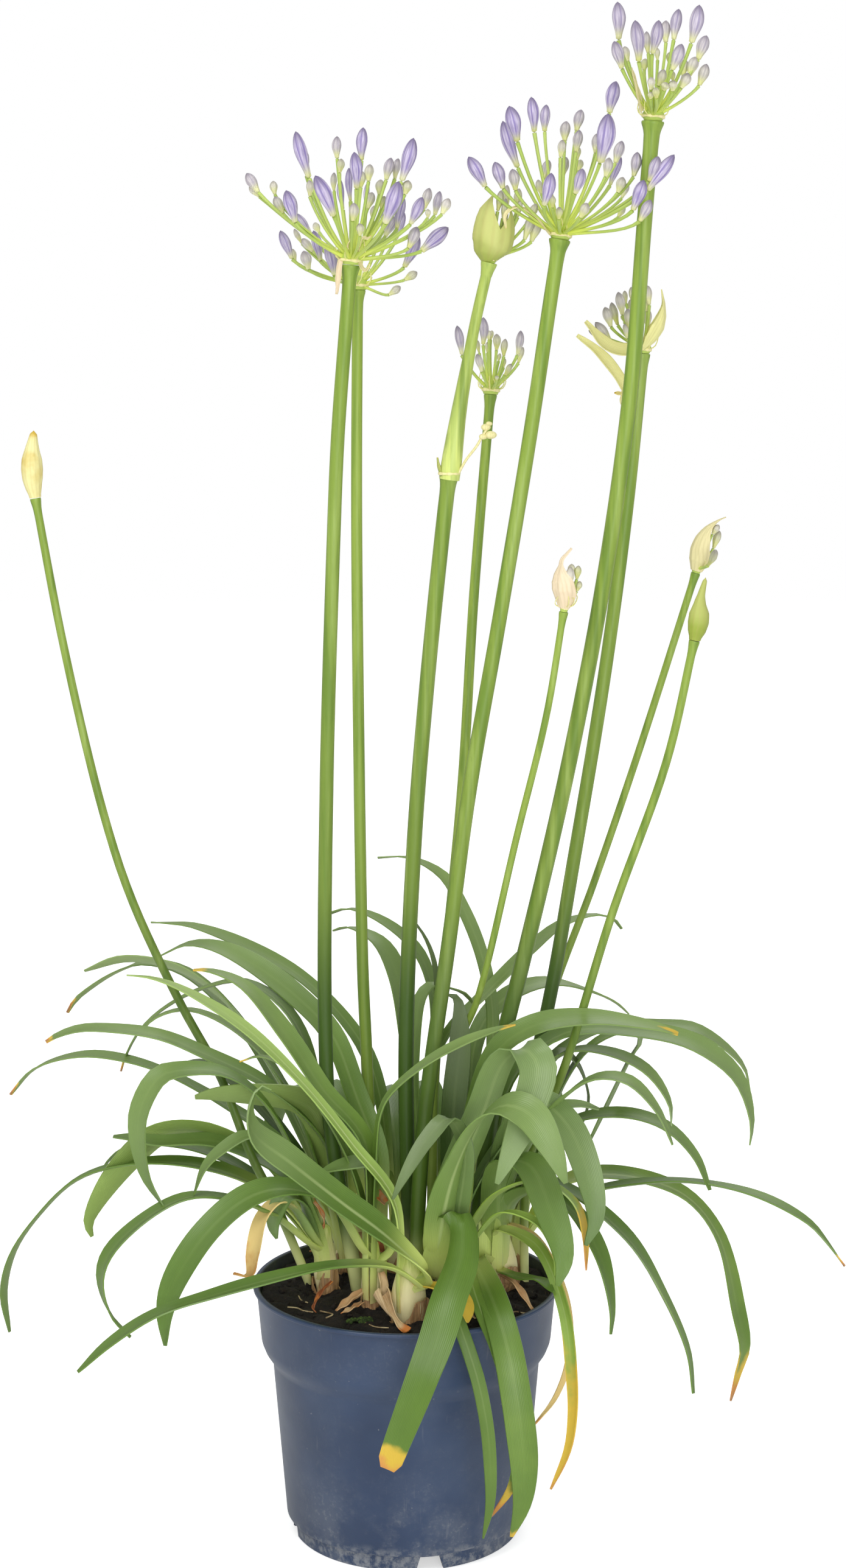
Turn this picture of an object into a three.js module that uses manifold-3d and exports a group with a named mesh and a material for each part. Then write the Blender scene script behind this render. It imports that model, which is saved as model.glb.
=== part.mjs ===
// A potted agapanthus about to flower: a moulded nursery pot filled with soil, ten leafy shoots, eleven
// flower stems (scapes), their umbels of buds, and two bud cases that are still shut.
// Millimetres, +Z up. The origin is on the pot's axis, on the floor. +X is the plant's right, -Y its front.

import * as THREE from "three";
import { mergeVertices } from "three/addons/utils/BufferGeometryUtils.js";
import Module from "manifold-3d";

const wasm = await Module();
wasm.setup();

// ---------- driving dimensions ----------

const GAP = 0.3; // between pieces that touch

// Pot: the lip, a deep rim band, a rounded shoulder, a tapered body and a foot ring
const POT_HEIGHT = 159;
const POT_SIDES = 28;
const WALL = 1.5;
const LIP_RADIUS = 95;
const LIP_HEIGHT = 3;
const BAND_TOP_RADIUS = 92.8;
const BAND_FOOT_RADIUS = 90;
const BAND_FOOT_Z = 124;
const SHOULDER_RADIUS = 87.6;
const SHOULDER_Z = 118;
const BODY_TOP_RADIUS = 83;
const BODY_TOP_Z = 110;
const BODY_FOOT_RADIUS = 75;
const FOOT_RADIUS = 71;
const FOOT_WALL = 4;
const FOOT_HEIGHT = 10.5;
const FLOOR_Z = 12.5;

// Drainage: four notches through the foot ring and a ring of round holes in the floor
const NOTCH_COUNT = 4;
const NOTCH_FIRST_ANGLE = -78;
const NOTCH_WIDTH = 17;
const NOTCH_TOP_WIDTH = 12;
const NOTCH_HEIGHT = 9;
const DRAIN_COUNT = 6;
const DRAIN_RADIUS = 5;
const DRAIN_CIRCLE = 44;

// Soil: nearly level with the lip, mounded in the middle
const SOIL_EDGE_Z = 153;
const SOIL_MOUND = 3.5;
const SOIL_RINGS = [90, 50];

// Crowns: the swollen leaf bases, sunk in the soil
const CROWN_FOOT_Z = 138;
const CROWN_FLARE_Z = 160;
const CROWN_TOP_Z = 198;
const CROWN_SIDES = 7;

// Leaf blades: a shallow channel with the midrib at its lowest line
const BLADE_THICKNESS = 1;
const BLADE_CHANNEL = 0.13;
const NARROW_BLADE = 18.5;
const BLADE_STEP = 90;
const BLADE_BEND_STEP = 55;
const BLADE_FEWEST_STEPS = 4;
const LEAF_ROOT_REACH = 0.9;
const LEAF_ROOT_RISE = 30;

// Flower stems
const SCAPE_FOOT_Z = 140;
const THICK_SCAPE = 3.5;
const THICK_SCAPE_SIDES = 7;
const THIN_SCAPE_SIDES = 6;
const SCAPE_STEPS = 5;
const SCAPE_HOLE_DEPTH = 40;
const COLLAR_HEIGHT = 7;

// Umbels: the buds stand on pedicels that spread from a domed receptacle
const RECEPTACLE_HEIGHT = 3; // from the stem's end to where the pedicels meet
const PEDICEL_RADIUS = 0.9;
const LONG_BUD_SIDES = 4;
const SHORT_BUD_SIDES = 3;
const LONG_BUD = 23;
const BUD_FULLNESS = 1.1; // makes a bud with few sides as full as a round one

// ---------- the plant's own places ----------

// Each shoot: its crown's place, radius and neck (how far the crown narrows at the soil), and its leaves.
// A leaf is [width, turn, route]: `turn` is how far, in degrees, its upper face turns to the front, at even
// steps from base to tip, and `route` is its midrib above the crown.
const SHOOTS = [
  { name: "shoot_left", at: [-50, -4], girth: 8, neck: 0.75, leaves: [
    [16, [0, 20, 20], [[-66, -19, 237], [-87, -29, 283], [-110, -36, 302], [-135, -42, 305],
      [-147, -45, 302], [-158, -49, 284], [-160, -51, 269], [-155, -56, 243], [-144, -60, 225]]],
    [19, [10, 15, 5], [[-67, 3, 218], [-86, 9, 234], [-117, 18, 243], [-155, 25, 241], [-173, 28, 243],
      [-184, 30, 243]]],
    [21, [5, -45, -45], [[-79, 16, 218], [-102, 24, 239], [-131, 32, 246], [-157, 39, 240],
      [-180, 40, 219], [-198, 40, 193], [-202, 40, 182], [-200, 40, 174]]],
    [13, [10, 0, 0], [[-91, 32, 212], [-121, 43, 227], [-146, 51, 231], [-178, 56, 228], [-190, 58, 219],
      [-196, 60, 211]]],
    [15, [10, 3, 3], [[-75, 11, 204], [-102, 16, 220], [-140, 25, 227], [-180, 37, 222], [-210, 46, 209],
      [-233, 53, 186], [-252, 58, 158], [-260, 62, 130], [-258, 66, 101]]],
    [12, [-5, 0, 5], [[-65, -36, 235], [-79, -44, 260], [-94, -49, 267], [-110, -52, 259],
      [-120, -53, 249], [-127, -55, 232]]],
    [15, [-5, 0, -15], [[-62, -20, 191], [-80, -33, 211], [-105, -49, 227], [-131, -58, 231],
      [-154, -65, 221], [-176, -71, 201], [-181, -72, 186], [-176, -74, 165], [-164, -75, 150]]],
    [11, [0, 0, 0], [[-58, -22, 195], [-69, -31, 216], [-78, -35, 221], [-87, -41, 213], [-92, -51, 193],
      [-94, -56, 182], [-103, -60, 185]]],
    [16, [0, 20, 22], [[-57, -16, 193], [-64, -28, 219], [-73, -34, 224], [-78, -37, 217],
      [-80, -40, 208], [-78, -42, 200]]],
  ] },
  { name: "shoot_left_back", at: [-38, 26], girth: 8, neck: 0.75, leaves: [
    [18, [0, -30, -38], [[-66, 65, 239], [-94, 89, 281], [-118, 107, 310], [-143, 116, 327],
      [-163, 122, 333], [-188, 128, 334], [-213, 135, 325]]],
    [13, [0, 0, 0], [[-78, 91, 248], [-115, 118, 300], [-148, 133, 325], [-175, 138, 329],
      [-193, 142, 322], [-210, 146, 311], [-221, 148, 302], [-227, 150, 293]]],
    [15, [0, 0, 0], [[-64, 36, 303], [-81, 40, 328], [-104, 44, 339], [-121, 47, 336], [-145, 51, 325],
      [-167, 55, 307], [-179, 59, 286], [-182, 60, 277]]],
    [15, [0, 0, 0], [[-74, 12, 278], [-99, 15, 310], [-127, 17, 326], [-142, 18, 327], [-157, 19, 321],
      [-166, 20, 311]]],
    [14, [-10, 20, 20], [[-48, 3, 242], [-81, -8, 284], [-121, -13, 307], [-150, -16, 320],
      [-183, -18, 325], [-198, -19, 325], [-211, -19, 321], [-218, -20, 317]]],
    [15, [0, 0, -2], [[-76, 30, 234], [-114, 37, 261], [-153, 46, 280], [-180, 52, 287], [-204, 58, 288],
      [-228, 63, 282], [-240, 66, 275], [-254, 70, 259]]],
    [13, [10, 2, 2], [[-69, 62, 220], [-93, 72, 249], [-115, 79, 268], [-135, 85, 277], [-155, 90, 271]]],
    [22, [0, -50, -58], [[-46, 15, 215], [-52, 3, 257], [-62, -3, 273], [-92, -15, 282], [-119, -20, 284],
      [-128, -22, 283]]],
  ] },
  { name: "shoot_front_left", at: [-20, -34], girth: 8, neck: 0.8, leaves: [
    [16, [5, 20, 22], [[-18, 1, 238], [-31, 13, 274], [-46, 30, 308], [-68, 43, 329], [-99, 57, 349],
      [-121, 66, 357], [-139, 73, 357], [-157, 80, 348]]],
    [17, [5, 12, 12], [[-24, -37, 258], [-50, -33, 291], [-72, -23, 322], [-98, -15, 351],
      [-119, -10, 359], [-129, -8, 359]]],
    [21, [5, 15, 20], [[-28, -44, 195], [-46, -58, 228], [-71, -69, 240], [-92, -79, 238],
      [-116, -93, 221], [-135, -102, 193], [-140, -106, 176], [-140, -110, 158]]],
    [12, [10, 5, 5], [[-28, -32, 225], [-47, -30, 271], [-68, -30, 301], [-87, -31, 311],
      [-100, -32, 308]]],
    [12, [20, 20, 15], [[-18, -41, 244], [-15, -46, 279], [-9, -47, 292], [12, -51, 312], [34, -55, 326],
      [55, -58, 335], [65, -60, 338]]],
    [17, [0, 5, 10], [[-10, -35, 192], [-10, -35, 230], [-21, -36, 245], [-39, -39, 245],
      [-54, -42, 241]]],
  ] },
  { name: "shoot_front", at: [2, -54], girth: 11.5, neck: 0.8, leaves: [
    [8.5, [15, 25, 20], [[-6, -61, 229], [-31, -62, 265], [-60, -55, 300], [-96, -46, 333],
      [-133, -37, 354], [-152, -33, 360], [-167, -30, 361]]],
    [23, [30, 55, 50], [[12, -65, 185], [-9, -81, 213], [-37, -98, 241], [-65, -113, 269],
      [-87, -119, 290], [-88, -122, 307], [-82, -124, 317], [-76, -125, 315]]],
    [15, [0, 0, 0], [[9, -64, 177], [-9, -75, 193], [-41, -92, 200], [-76, -107, 198], [-111, -119, 192],
      [-145, -128, 183], [-171, -132, 167], [-188, -135, 152]]],
    [11, [5, 5], [[9, -62, 178], [21, -71, 180], [32, -81, 179], [36, -87, 174], [37, -95, 167]]],
  ] },
  { name: "shoots_right", at: [26, -28], girth: 9, neck: 0.8, leaves: [
    [15, [10, 10, 10], [[29, -21, 214], [29, -19, 271], [33, -14, 320], [31, -11, 342], [26, -10, 344]]],
    [20, [20, 20, 20], [[38, -34, 226], [42, -37, 280], [56, -38, 317], [78, -39, 332], [111, -33, 335],
      [141, -26, 330], [156, -22, 326], [165, -20, 322]]],
    [14, [10, 10, 10], [[38, -30, 217], [60, -30, 259], [86, -30, 278], [106, -30, 281],
      [117, -30, 278]]],
    [23, [0, 10, 10], [[18, -41, 194], [27, -51, 232], [45, -67, 285], [58, -80, 322], [69, -86, 330],
      [77, -91, 321], [72, -96, 299], [63, -104, 278], [53, -110, 256]]],
    [23, [-25, 20, 35], [[20, -49, 193], [28, -79, 252], [44, -98, 291], [58, -107, 302], [72, -112, 298],
      [84, -118, 280], [92, -125, 261]]],
    [12, [0, -10, -10], [[38, -41, 202], [56, -52, 232], [81, -57, 241], [101, -62, 229], [107, -66, 210],
      [108, -70, 190]]],
    [5, [0, 0], [[40, -51, 201], [59, -69, 226], [79, -76, 221], [88, -81, 204], [89, -85, 192]]],
    [11, [0, 5, 10], [[32, -60, 223], [35, -83, 271], [25, -92, 290], [12, -97, 278], [0, -102, 259],
      [-7, -105, 245]]],
    [24, [0, 0, 0], [[18, -41, 175], [20, -53, 198], [29, -68, 226], [33, -74, 220], [33, -90, 207],
      [25, -112, 189], [18, -126, 168], [9, -139, 147], [-5, -144, 111], [-10, -145, 97]]],
    [8, [5, 5, 5], [[29, -42, 183], [30, -66, 176], [31, -90, 168], [37, -99, 152], [43, -103, 133],
      [48, -106, 108], [50, -107, 86], [50, -108, 60], [46, -108, 38]]],
  ] },
  { name: "shoots_right", at: [57, 2], girth: 13, neck: 0.5, leaves: [
    [19, [20, 15, 20], [[54, 9, 236], [69, 9, 291], [98, 5, 316], [143, 1, 318], [176, -5, 312],
      [202, -11, 293], [211, -17, 267], [210, -20, 252]]],
    [15, [10, 2, 2], [[58, 8, 229], [74, 6, 276], [98, -1, 305], [124, -8, 307], [147, -17, 298],
      [160, -25, 280], [161, -30, 267]]],
    [15, [10, 2, 2], [[61, -19, 214], [75, -37, 258], [94, -47, 289], [114, -51, 303], [133, -55, 302],
      [150, -59, 285], [159, -62, 265]]],
    [20, [-10, 10, 20], [[58, -19, 225], [64, -36, 269], [78, -45, 288], [94, -54, 278], [104, -62, 261],
      [113, -71, 223], [107, -75, 207]]],
    [21, [-5, 5, 10], [[60, -46, 249], [74, -58, 251], [85, -81, 232], [93, -94, 205], [89, -100, 191]]],
    [20, [0, -8, -15], [[54, -10, 217], [76, -16, 229], [102.5, -23, 222], [135.5, -34, 197],
      [155.5, -44, 166], [170.5, -53, 133], [174, -60, 109]]],
    [19, [-10, -15, -20], [[64, -22, 217], [82.5, -32, 227], [99.5, -41, 219], [116.5, -56, 195],
      [123.5, -66, 164], [123, -70, 150]]],
    [7.5, [20, 40, 50, 50], [[57, -23, 200], [79, -44, 197], [94, -75, 168], [98, -99, 135],
      [98, -110, 117], [95, -115, 97], [85, -120, 74]]],
    [4, [0, 0], [[59, -10, 199], [79, -21, 195], [96, -39, 166], [99, -57, 133], [91, -69, 112],
      [77, -80, 98]]],
    [11, [5, 5], [[60, -21, 172], [71, -40, 175], [82, -56, 179], [88, -70, 177]]],
    [18, [5, 5, 5], [[42, -34, 184], [48, -56, 177], [55, -80, 166], [61, -94, 147], [65, -101, 125],
      [68, -105, 104], [70, -107, 82], [69, -108, 60], [63, -108, 39]]],
    [8, [5, 5, 5], [[39, -44, 181], [40, -60, 178], [45, -79, 168], [53, -89, 152], [58, -92, 137],
      [65, -98, 109], [67, -100, 88], [63, -101, 67], [51, -102, 49]]],
  ] },
  { name: "shoot_right_side", at: [68, 30], girth: 8, neck: 0.7, leaves: [
    [15, [10, 5, 18], [[74, 36, 228], [89, 43, 285], [124, 47, 308], [164, 50, 309], [185, 50, 306],
      [213, 50, 283], [219, 50, 260]]],
    [16, [15, 5, 5], [[83, 28, 230], [100, 30, 279], [117, 30, 302], [138, 30, 311], [146, 29, 307],
      [138, 27, 292], [126, 24, 267], [114, 20, 241]]],
    [14, [10, 10, 5], [[77, 20, 213], [92, 14, 250], [114, 6, 263], [140, -2, 266], [161, -11, 260],
      [177, -21, 245], [185, -30, 227]]],
    [13, [10, 2, 2], [[72, 30, 206], [75, 30, 246], [85, 29, 281], [96, 29, 298], [106, 29, 291],
      [114, 28, 270], [110, 28, 248]]],
    [17, [15, 12, 25, 50], [[75, 33, 181], [90, 41, 202], [113, 49, 211], [148, 55, 208], [180, 59, 194],
      [200, 56, 169], [212, 48, 123], [216, 40, 99], [212, 36, 85], [207, 30, 68]]],
    [15, [0, -5, -12], [[74, 23, 178], [89, 16, 198], [114, 6, 214], [147, -6, 224], [180, -19, 228],
      [215, -34, 224], [243, -48, 212], [253, -54, 202], [263, -62, 190]]],
    [17, [0, 0, 0], [[72, 60, 215], [80, 95, 240], [88, 125, 225], [92, 145, 190], [92, 150, 150]]],
  ] },
  { name: "shoot_centre_back", at: [-4, 28], girth: 9, neck: 0.8, leaves: [
    [11, [5, 20, 12], [[-11, 42, 206], [-17, 59, 261], [-30, 75, 293], [-66, 97, 328], [-106, 108, 349],
      [-140, 115, 360], [-154, 117, 361], [-167, 120, 361]]],
    [10, [-25, -15, 0], [[12, 53, 223], [18, 71, 298], [16, 79, 328], [7, 84, 350], [-15, 91, 368],
      [-37, 96, 375], [-53, 100, 370]]],
    [17, [-43, -30, 0], [[1, 71, 217], [0, 102, 290], [-6, 117, 325], [-18, 127, 346], [-38, 136, 354],
      [-49, 140, 351]]],
    [4, [0, 0, 0], [[12, 38, 227], [19, 49, 303], [18, 53, 346], [12, 54, 365], [5, 55, 376]]],
    [15, [-15, -5, 5], [[5, 42, 210], [12, 57, 262], [26, 67, 299], [51, 76, 324], [79, 85, 350],
      [100, 91, 366], [124, 96, 371], [134, 99, 367], [139, 100, 361]]],
    [11, [10, 2, 2], [[7, 31, 229], [5, 41, 286], [9, 51, 327], [16, 53, 335], [28, 56, 332],
      [37, 58, 328], [43, 60, 321]]],
    [17, [0, 0, 0], [[-8, 60, 234], [-12, 92, 248], [-18, 120, 250], [-26, 140, 236], [-32, 150, 206]]],
  ] },
  { name: "shoot_back_right", at: [30, 56], girth: 8, neck: 0.8, leaves: [
    [9, [15, 17, 8], [[51.5, 66, 239], [55.5, 84, 303], [54.5, 88, 317], [47.5, 98, 347],
      [36.5, 106, 373], [24, 113, 393], [1, 120, 404], [-19, 125, 403]]],
    [15, [0, 12, 12], [[40, 76, 236], [46, 97, 291], [64, 108, 313], [92, 122, 320], [127, 139, 308],
      [140, 145, 300], [148, 150, 292]]],
    [20, [0, 0, 0], [[34, 84, 218], [44, 112, 246], [58, 134, 236], [68, 146, 195], [71, 150, 148]]],
    [18, [0, 0, 0], [[22, 88, 228], [11, 118, 254], [0, 138, 240], [-8, 148, 200], [-10, 150, 160]]],
    [17, [0, 0, 0], [[45, 80, 230], [62, 105, 260], [80, 128, 266], [96, 145, 246], [105, 152, 215]]],
  ] },
  { name: "shoot_back_left", at: [-30, 60], girth: 8, neck: 0.8, leaves: [
    [18, [0, 0, 0], [[-38, 80, 215], [-46, 105, 246], [-56, 130, 250], [-64, 148, 222], [-68, 155, 185]]],
    [19, [0, 0, 0], [[-31, 86, 205], [-35, 118, 222], [-42, 143, 200], [-48, 154, 150], [-50, 154, 108]]],
    [18, [0, 0, 0], [[-46, 78, 215], [-60, 100, 245], [-76, 122, 250], [-88, 138, 225], [-92, 146, 190]]],
  ] },
];

// Each scape: its radius at the foot and under the collar, its collar's radius, and its route from the soil
const SCAPES = [
  { name: "scape_far_left", foot: 2.9, top: 2.4, collar: 3.4, route: [[-55, 8, SCAPE_FOOT_Z],
    [-80, -7, 210], [-95, -4, 240], [-115, 7, 289], [-138, 5, 334], [-167, 0, 402], [-184, 3, 457],
    [-206, 7, 557], [-221, 10, 643]] },
  { name: "scape_front_left", foot: 4.6, top: 4, collar: 6, route: [[-27, -6, SCAPE_FOOT_Z],
    [-46, -11, 260], [-49, -12, 327], [-47, -20, 475], [-42, -29, 616], [-39, -32, 680], [-34, -34, 743],
    [-31, -35, 779]] },
  { name: "scape_left_back", foot: 3.9, top: 3.3, collar: 5, route: [[-20, 8, SCAPE_FOOT_Z],
    [-23, 31, 240], [-25, 33, 300], [-27, 34, 349], [-29, 37, 490], [-30, 46, 639], [-29, 50, 766]] },
  { name: "scape_centre_back", foot: 3.4, top: 3, collar: 4.2, route: [[16, 20, SCAPE_FOOT_Z],
    [18, 30, 289], [26, 39, 368], [35, 49, 464], [42, 61, 580], [52, 70, 703]] },
  { name: "scape_middle", foot: 4.8, top: 4.2, collar: 6.6, route: [[4, -28, SCAPE_FOOT_Z],
    [11, -27, 266], [26, -24, 379], [38, -20, 470], [55, -17, 569], [73, -13, 679], [85, -11, 761],
    [90, -10, 794]] },
  { name: "scape_right", foot: 5, top: 4.4, collar: 6.8, route: [[36, -8, SCAPE_FOOT_Z],
    [60, -12, 319], [69, -13, 357], [95, -18, 475], [117, -22, 597], [131, -25, 707], [138, -25, 805],
    [142, -25, 860]] },
  { name: "scape_right_back", foot: 4.5, top: 4, collar: 5, route: [[40, 32, SCAPE_FOOT_Z],
    [85, 37, 307], [105, 41, 422], [123, 47, 536], [136, 52, 640], [144, 55, 728]] },
  { name: "scape_splitting_front", foot: 2.3, top: 2, collar: 2.8, route: [[30, 4, SCAPE_FOOT_Z],
    [30, -2, 301], [44, -16, 344], [66, -33, 445], [83, -44, 521], [92, -50, 581]] },
  { name: "scape_splitting_back", foot: 2.5, top: 2.3, collar: 3, route: [[48, 46, SCAPE_FOOT_Z],
    [89, 56, 317], [118, 60, 399], [145, 60, 482], [179, 60, 594]] },
  { name: "scape_far_right", foot: 2.8, top: 2.5, collar: 3.4, route: [[74, 14, SCAPE_FOOT_Z],
    [76, 6, 234], [97, -17, 302], [124, -23, 397], [155, -29, 491], [170, -30, 562]] },
];

// The two-tier scape: a stout lower tier that ends in a node ring, and a thinner upper tier on it
const TWO_TIER = {
  name: "scape_two_tier",
  lower: { foot: 4.8, top: 4.5, collar: 6, route: [[4, 0, SCAPE_FOOT_Z], [0, 0, 299], [5, 0, 433],
    [13, -2, 534], [22, -4, 623], [26, -5, 658]] },
  upper: { foot: 3.4, top: 3.2, collar: 5, route: [[26, -5, 655], [32, -6, 697], [41, -8, 746],
    [49, -10, 781]] },
};

// Each umbel: its stem, its receptacle's radius, and its buds as pedicel end x, y, z, bud tip x, y, z and bud
// radius, measured from the middle of its receptacle
const UMBELS = [
  { name: "umbel_front_left", stem: "scape_front_left", dome: 6.4, buds: [
    [-24, 13, 46, -32, 17, 73, 3.8], [-8, 12, 57, -8, 13, 70, 2.7], [6, 12, 56, 7, 14, 75, 3.3],
    [29, -13, 43, 36, -17, 67, 4], [4, -31, 38, 3, -38, 58, 3.5], [-6, -10, 48, -5, -11, 56, 2.2],
    [10, 7, 44, 11, 8, 54, 2.8], [6, -8, 40, 7, -10, 49, 2.1], [20, 12, 45, 23, 14, 58, 2.9],
    [25, 17, 46, 27, 20, 58, 2.4], [-8, -51, 22, -18, -60, 44, 4.3], [-23, -10, 35, -23, -12, 44, 2.3],
    [20, -50, 18, 28, -58, 41, 4.5], [31, -10, 36, 33, -11, 44, 2.8], [-31, -16, 20, -36, -20, 38, 3.8],
    [-39, 10, 26, -44, 11, 36, 2.8], [-44, 14, 37, -45, 15, 45, 2.3], [-53, 8, 38, -60, 9, 49, 3.1],
    [42, 13, 29, 45, 14, 41, 2.8], [48, 9, 25, 51, 10, 39, 2.6], [52, -10, 25, 56, -10, 34, 2.8],
    [34, -20, 19, 41, -25, 34, 3.3], [44, -10, 23, 44, -11, 28, 1.7], [40, 16, 5, 56, 22, 19, 4.2],
    [33, -12, 6, 38, -15, 18, 3.3], [2, -40, 20, 3, -43, 30, 2.9], [6, -37, 12, 6, -39, 19, 2.3],
    [9, 20, 29, 12, 24, 39, 2.9], [-19, 28, 16, -22, 31, 22, 2.1]] },
  { name: "umbel_left_back", stem: "scape_left_back", dome: 6.4, buds: [
    [-39, -9, 15, -46, -11, 32, 3.1], [-29, -11, 9, -32, -14, 20, 3.3], [-13, -36, 5, -17, -44, 24, 3.5],
    [28, -11, 10, 37, -16, 29, 3.8], [-28, 10, 30, -38, 12, 43, 2.9], [-27, 11, 20, -34, 13, 28, 2.6],
    [-9, 17, 45, -11, 21, 64, 2.3], [15, 12, 34, 19, 16, 52, 2.8], [23, 12, 27, 28, 15, 44, 2.8],
    [28, 8, 3, 36, 9, 8, 2.6], [19, -13, -6, 26, -16, -1, 2.4]] },
  { name: "umbel_middle", stem: "scape_middle", dome: 6.4, buds: [
    [29, 22, 70, 33, 25, 89, 4], [20, -38, 38, 24, -48, 65, 5.4], [-26, -20, 51, -31, -24, 71, 4.3],
    [-24, 26, 39, -33, 35, 67, 3.8], [-16, -10, 57, -18, -12, 77, 3.5], [-9, 15, 59, -8, 17, 75, 3.1],
    [3, 20, 54, 4, 23, 66, 3.1], [10, 25, 60, 13, 28, 73, 3.1], [9, 8, 47, 11, 9, 60, 2.9],
    [-1, -11, 43, 0, -12, 53, 2.4], [2, 25, 34, 4, 29, 46, 3.3], [-9, 22, 32, -6, 26, 44, 2.9],
    [-12, -49, 14, -8, -56, 32, 3.6], [6, -39, 21, 10, -45, 35, 3.3], [11, 22, 37, 13, 25, 44, 2.3],
    [32, 11, 41, 36, 12, 54, 3.1], [25, -11, 32, 27, -13, 43, 2.8], [30, 26, 29, 37, 32, 46, 2.6],
    [41, -13, 32, 43, -15, 46, 3.1], [32, -13, 23, 35, -14, 32, 2.8], [36, 12, 21, 40, 14, 30, 2.1],
    [48, -36, 28, 53, -40, 42, 3.5], [39, -36, 12, 45, -40, 29, 3.8], [47, -36, 23, 62, -40, 43, 3.6],
    [-44, -17, 26, -54, -21, 43, 3.8], [43, -36, 6, 49, -40, 18, 3.1], [-34, -19, 25, -39, -23, 40, 3.5],
    [-27, -20, 24, -29, -24, 36, 3.1], [-10, 30, 24, -12, 33, 33, 2.1], [9, -40, 8, 13, -43, 16, 2.8],
    [34, 11, 10, 38, 13, 17, 2.1]] },
  { name: "umbel_right", stem: "scape_right", dome: 6.4, buds: [
    [-21, -10, 41, -22, -12, 62, 3.8], [-11, -31, 27, -14, -39, 49, 4], [-3, -23, 32, 0, -30, 50, 3.5],
    [8, 16, 42, 8, 18, 55, 3], [12, 11, 43, 15, 14, 61, 3.3], [20, -11, 39, 24, -15, 60, 4],
    [26, 10, 32, 31, 12, 46, 3.5], [-19, -12, 25, -24, -16, 40, 3.5], [-14, 11, 31, -16, 13, 40, 2.5],
    [-2, 16, 36, -3, 19, 49, 2.3], [8, -26, 23, 13, -31, 37, 3.5], [21, 9, 23, 25, 11, 34, 3.3],
    [25, -9, 16, 29, -11, 28, 3.1], [14, -18, 14, 18, -21, 22, 3], [-4, -29, 12, -4, -31, 19, 2.3],
    [1, -19, 15, 4, -22, 24, 2.6], [3, -28, 12, 5, -30, 16, 2.6]] },
  { name: "umbel_centre_back", stem: "scape_centre_back", dome: 5.4, buds: [
    [-18, -6, 21, -21, -8, 39, 2.7], [-5, -7, 27, -5, -9, 44, 2.9], [-1, 11, 30, -1, 13, 36, 1.7],
    [3, -11, 24, 3, -14, 34, 2.5], [8, 6, 20, 9, 8, 31, 2.2], [16, -5, 21, 18, -7, 36, 2.5],
    [17, 7, 16, 20, 9, 26, 1.9], [-6, -18, 11, -9, -22, 22, 2.4], [8, 12, 13, 9, 14, 19, 1.3],
    [8, -15, 9, 12, -18, 16, 1.9], [-7, 10, 22, -8, 12, 30, 1.4]] },
  { name: "umbel_right_back", stem: "scape_right_back", dome: 5.1, buds: [
    [-13, -5, 20, -16, -7, 34, 2.9], [-10, 7, 27, -11, 8, 35, 1.7], [-7, -3, 27, -8, -4, 37, 1.9],
    [-15, 6, 14, -19, 8, 28, 2.5], [-20, -6, 13, -24, -8, 25, 2.9], [-20, -9, 4, -30, -13, 16, 2.9],
    [-22, -10, 6, -34, -13, 11, 2.1], [-10, -14, 12, -11, -19, 24, 2.7], [4, 5, 26, 3, 7, 38, 2.5]] },
  { name: "umbel_two_tier", stem: "scape_two_tier", dome: 4.2, buds: [
    [4, -4, 26, 6, -6, 38, 2.2], [10, 10, 28, 10, 13, 42, 2.3], [7, -5, 22, 9, -6, 32, 2.1],
    [16, 11, 28, 17, 13, 40, 2.4], [23, 8, 22, 27, 9, 31, 2.4], [20, 6, 10, 25, 8, 25, 2.8],
    [24, 8, 9, 29, 11, 22, 3.1]] },
  { name: "umbel_splitting_front", stem: "scape_splitting_front", dome: 2.6, buds: [
    [7, 0, 16, 8, 0, 24, 2.1], [7, 0, 9, 9, 0, 15, 2], [4, 0, 18, 4, 0, 25, 2.1]] },
  { name: "umbel_splitting_back", stem: "scape_splitting_back", dome: 3.2, buds: [
    [9, 0, 21, 13, 0, 27, 2.1], [10, 2, 12, 14, 4, 23, 2.4]] },
];

// Spathe valves and dried bracts, the papery scraps of the bud cases: [width, route], in the node that each
// one grows from
const BRACTS = {
  umbel_two_tier: [
    [15, [[48, -12, 786], [42, -16, 796], [44, -17, 808], [54, -14, 823]]],
    [14, [[52, -7, 786], [63, -2, 795], [65, 0, 804], [62, -3, 815]]]],
  umbel_splitting_front: [
    [9, [[92, -50, 586], [88, -52, 594], [87, -53, 603], [91, -52, 612], [98, -51, 616]]]],
  umbel_splitting_back: [
    [10, [[179, 60, 599], [180, 58, 604], [183, 58, 612], [190, 59, 620], [198, 60, 628]]]],
  umbel_right: [
    [6, [[142, -25, 865], [134, -27, 874], [129, -28, 886]]],
    [5, [[142, -25, 866], [128, -22, 878], [118, -20, 894]]]],
  umbel_left_back: [
    [5, [[-29, 50, 772], [-37, 46, 772], [-44, 44, 765]]]],
  umbel_right_back: [
    [9, [[144, 55, 733], [146, 51, 742], [149, 50, 752], [152, 50, 767]]],
    [10, [[144, 55, 734], [135, 46, 731], [124, 41, 732], [108, 40, 747]]]],
  scape_right_back: [
    [9, [[140, 53, 690], [134, 43, 704], [122, 38, 722], [103, 38, 739]]]],
};

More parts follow.
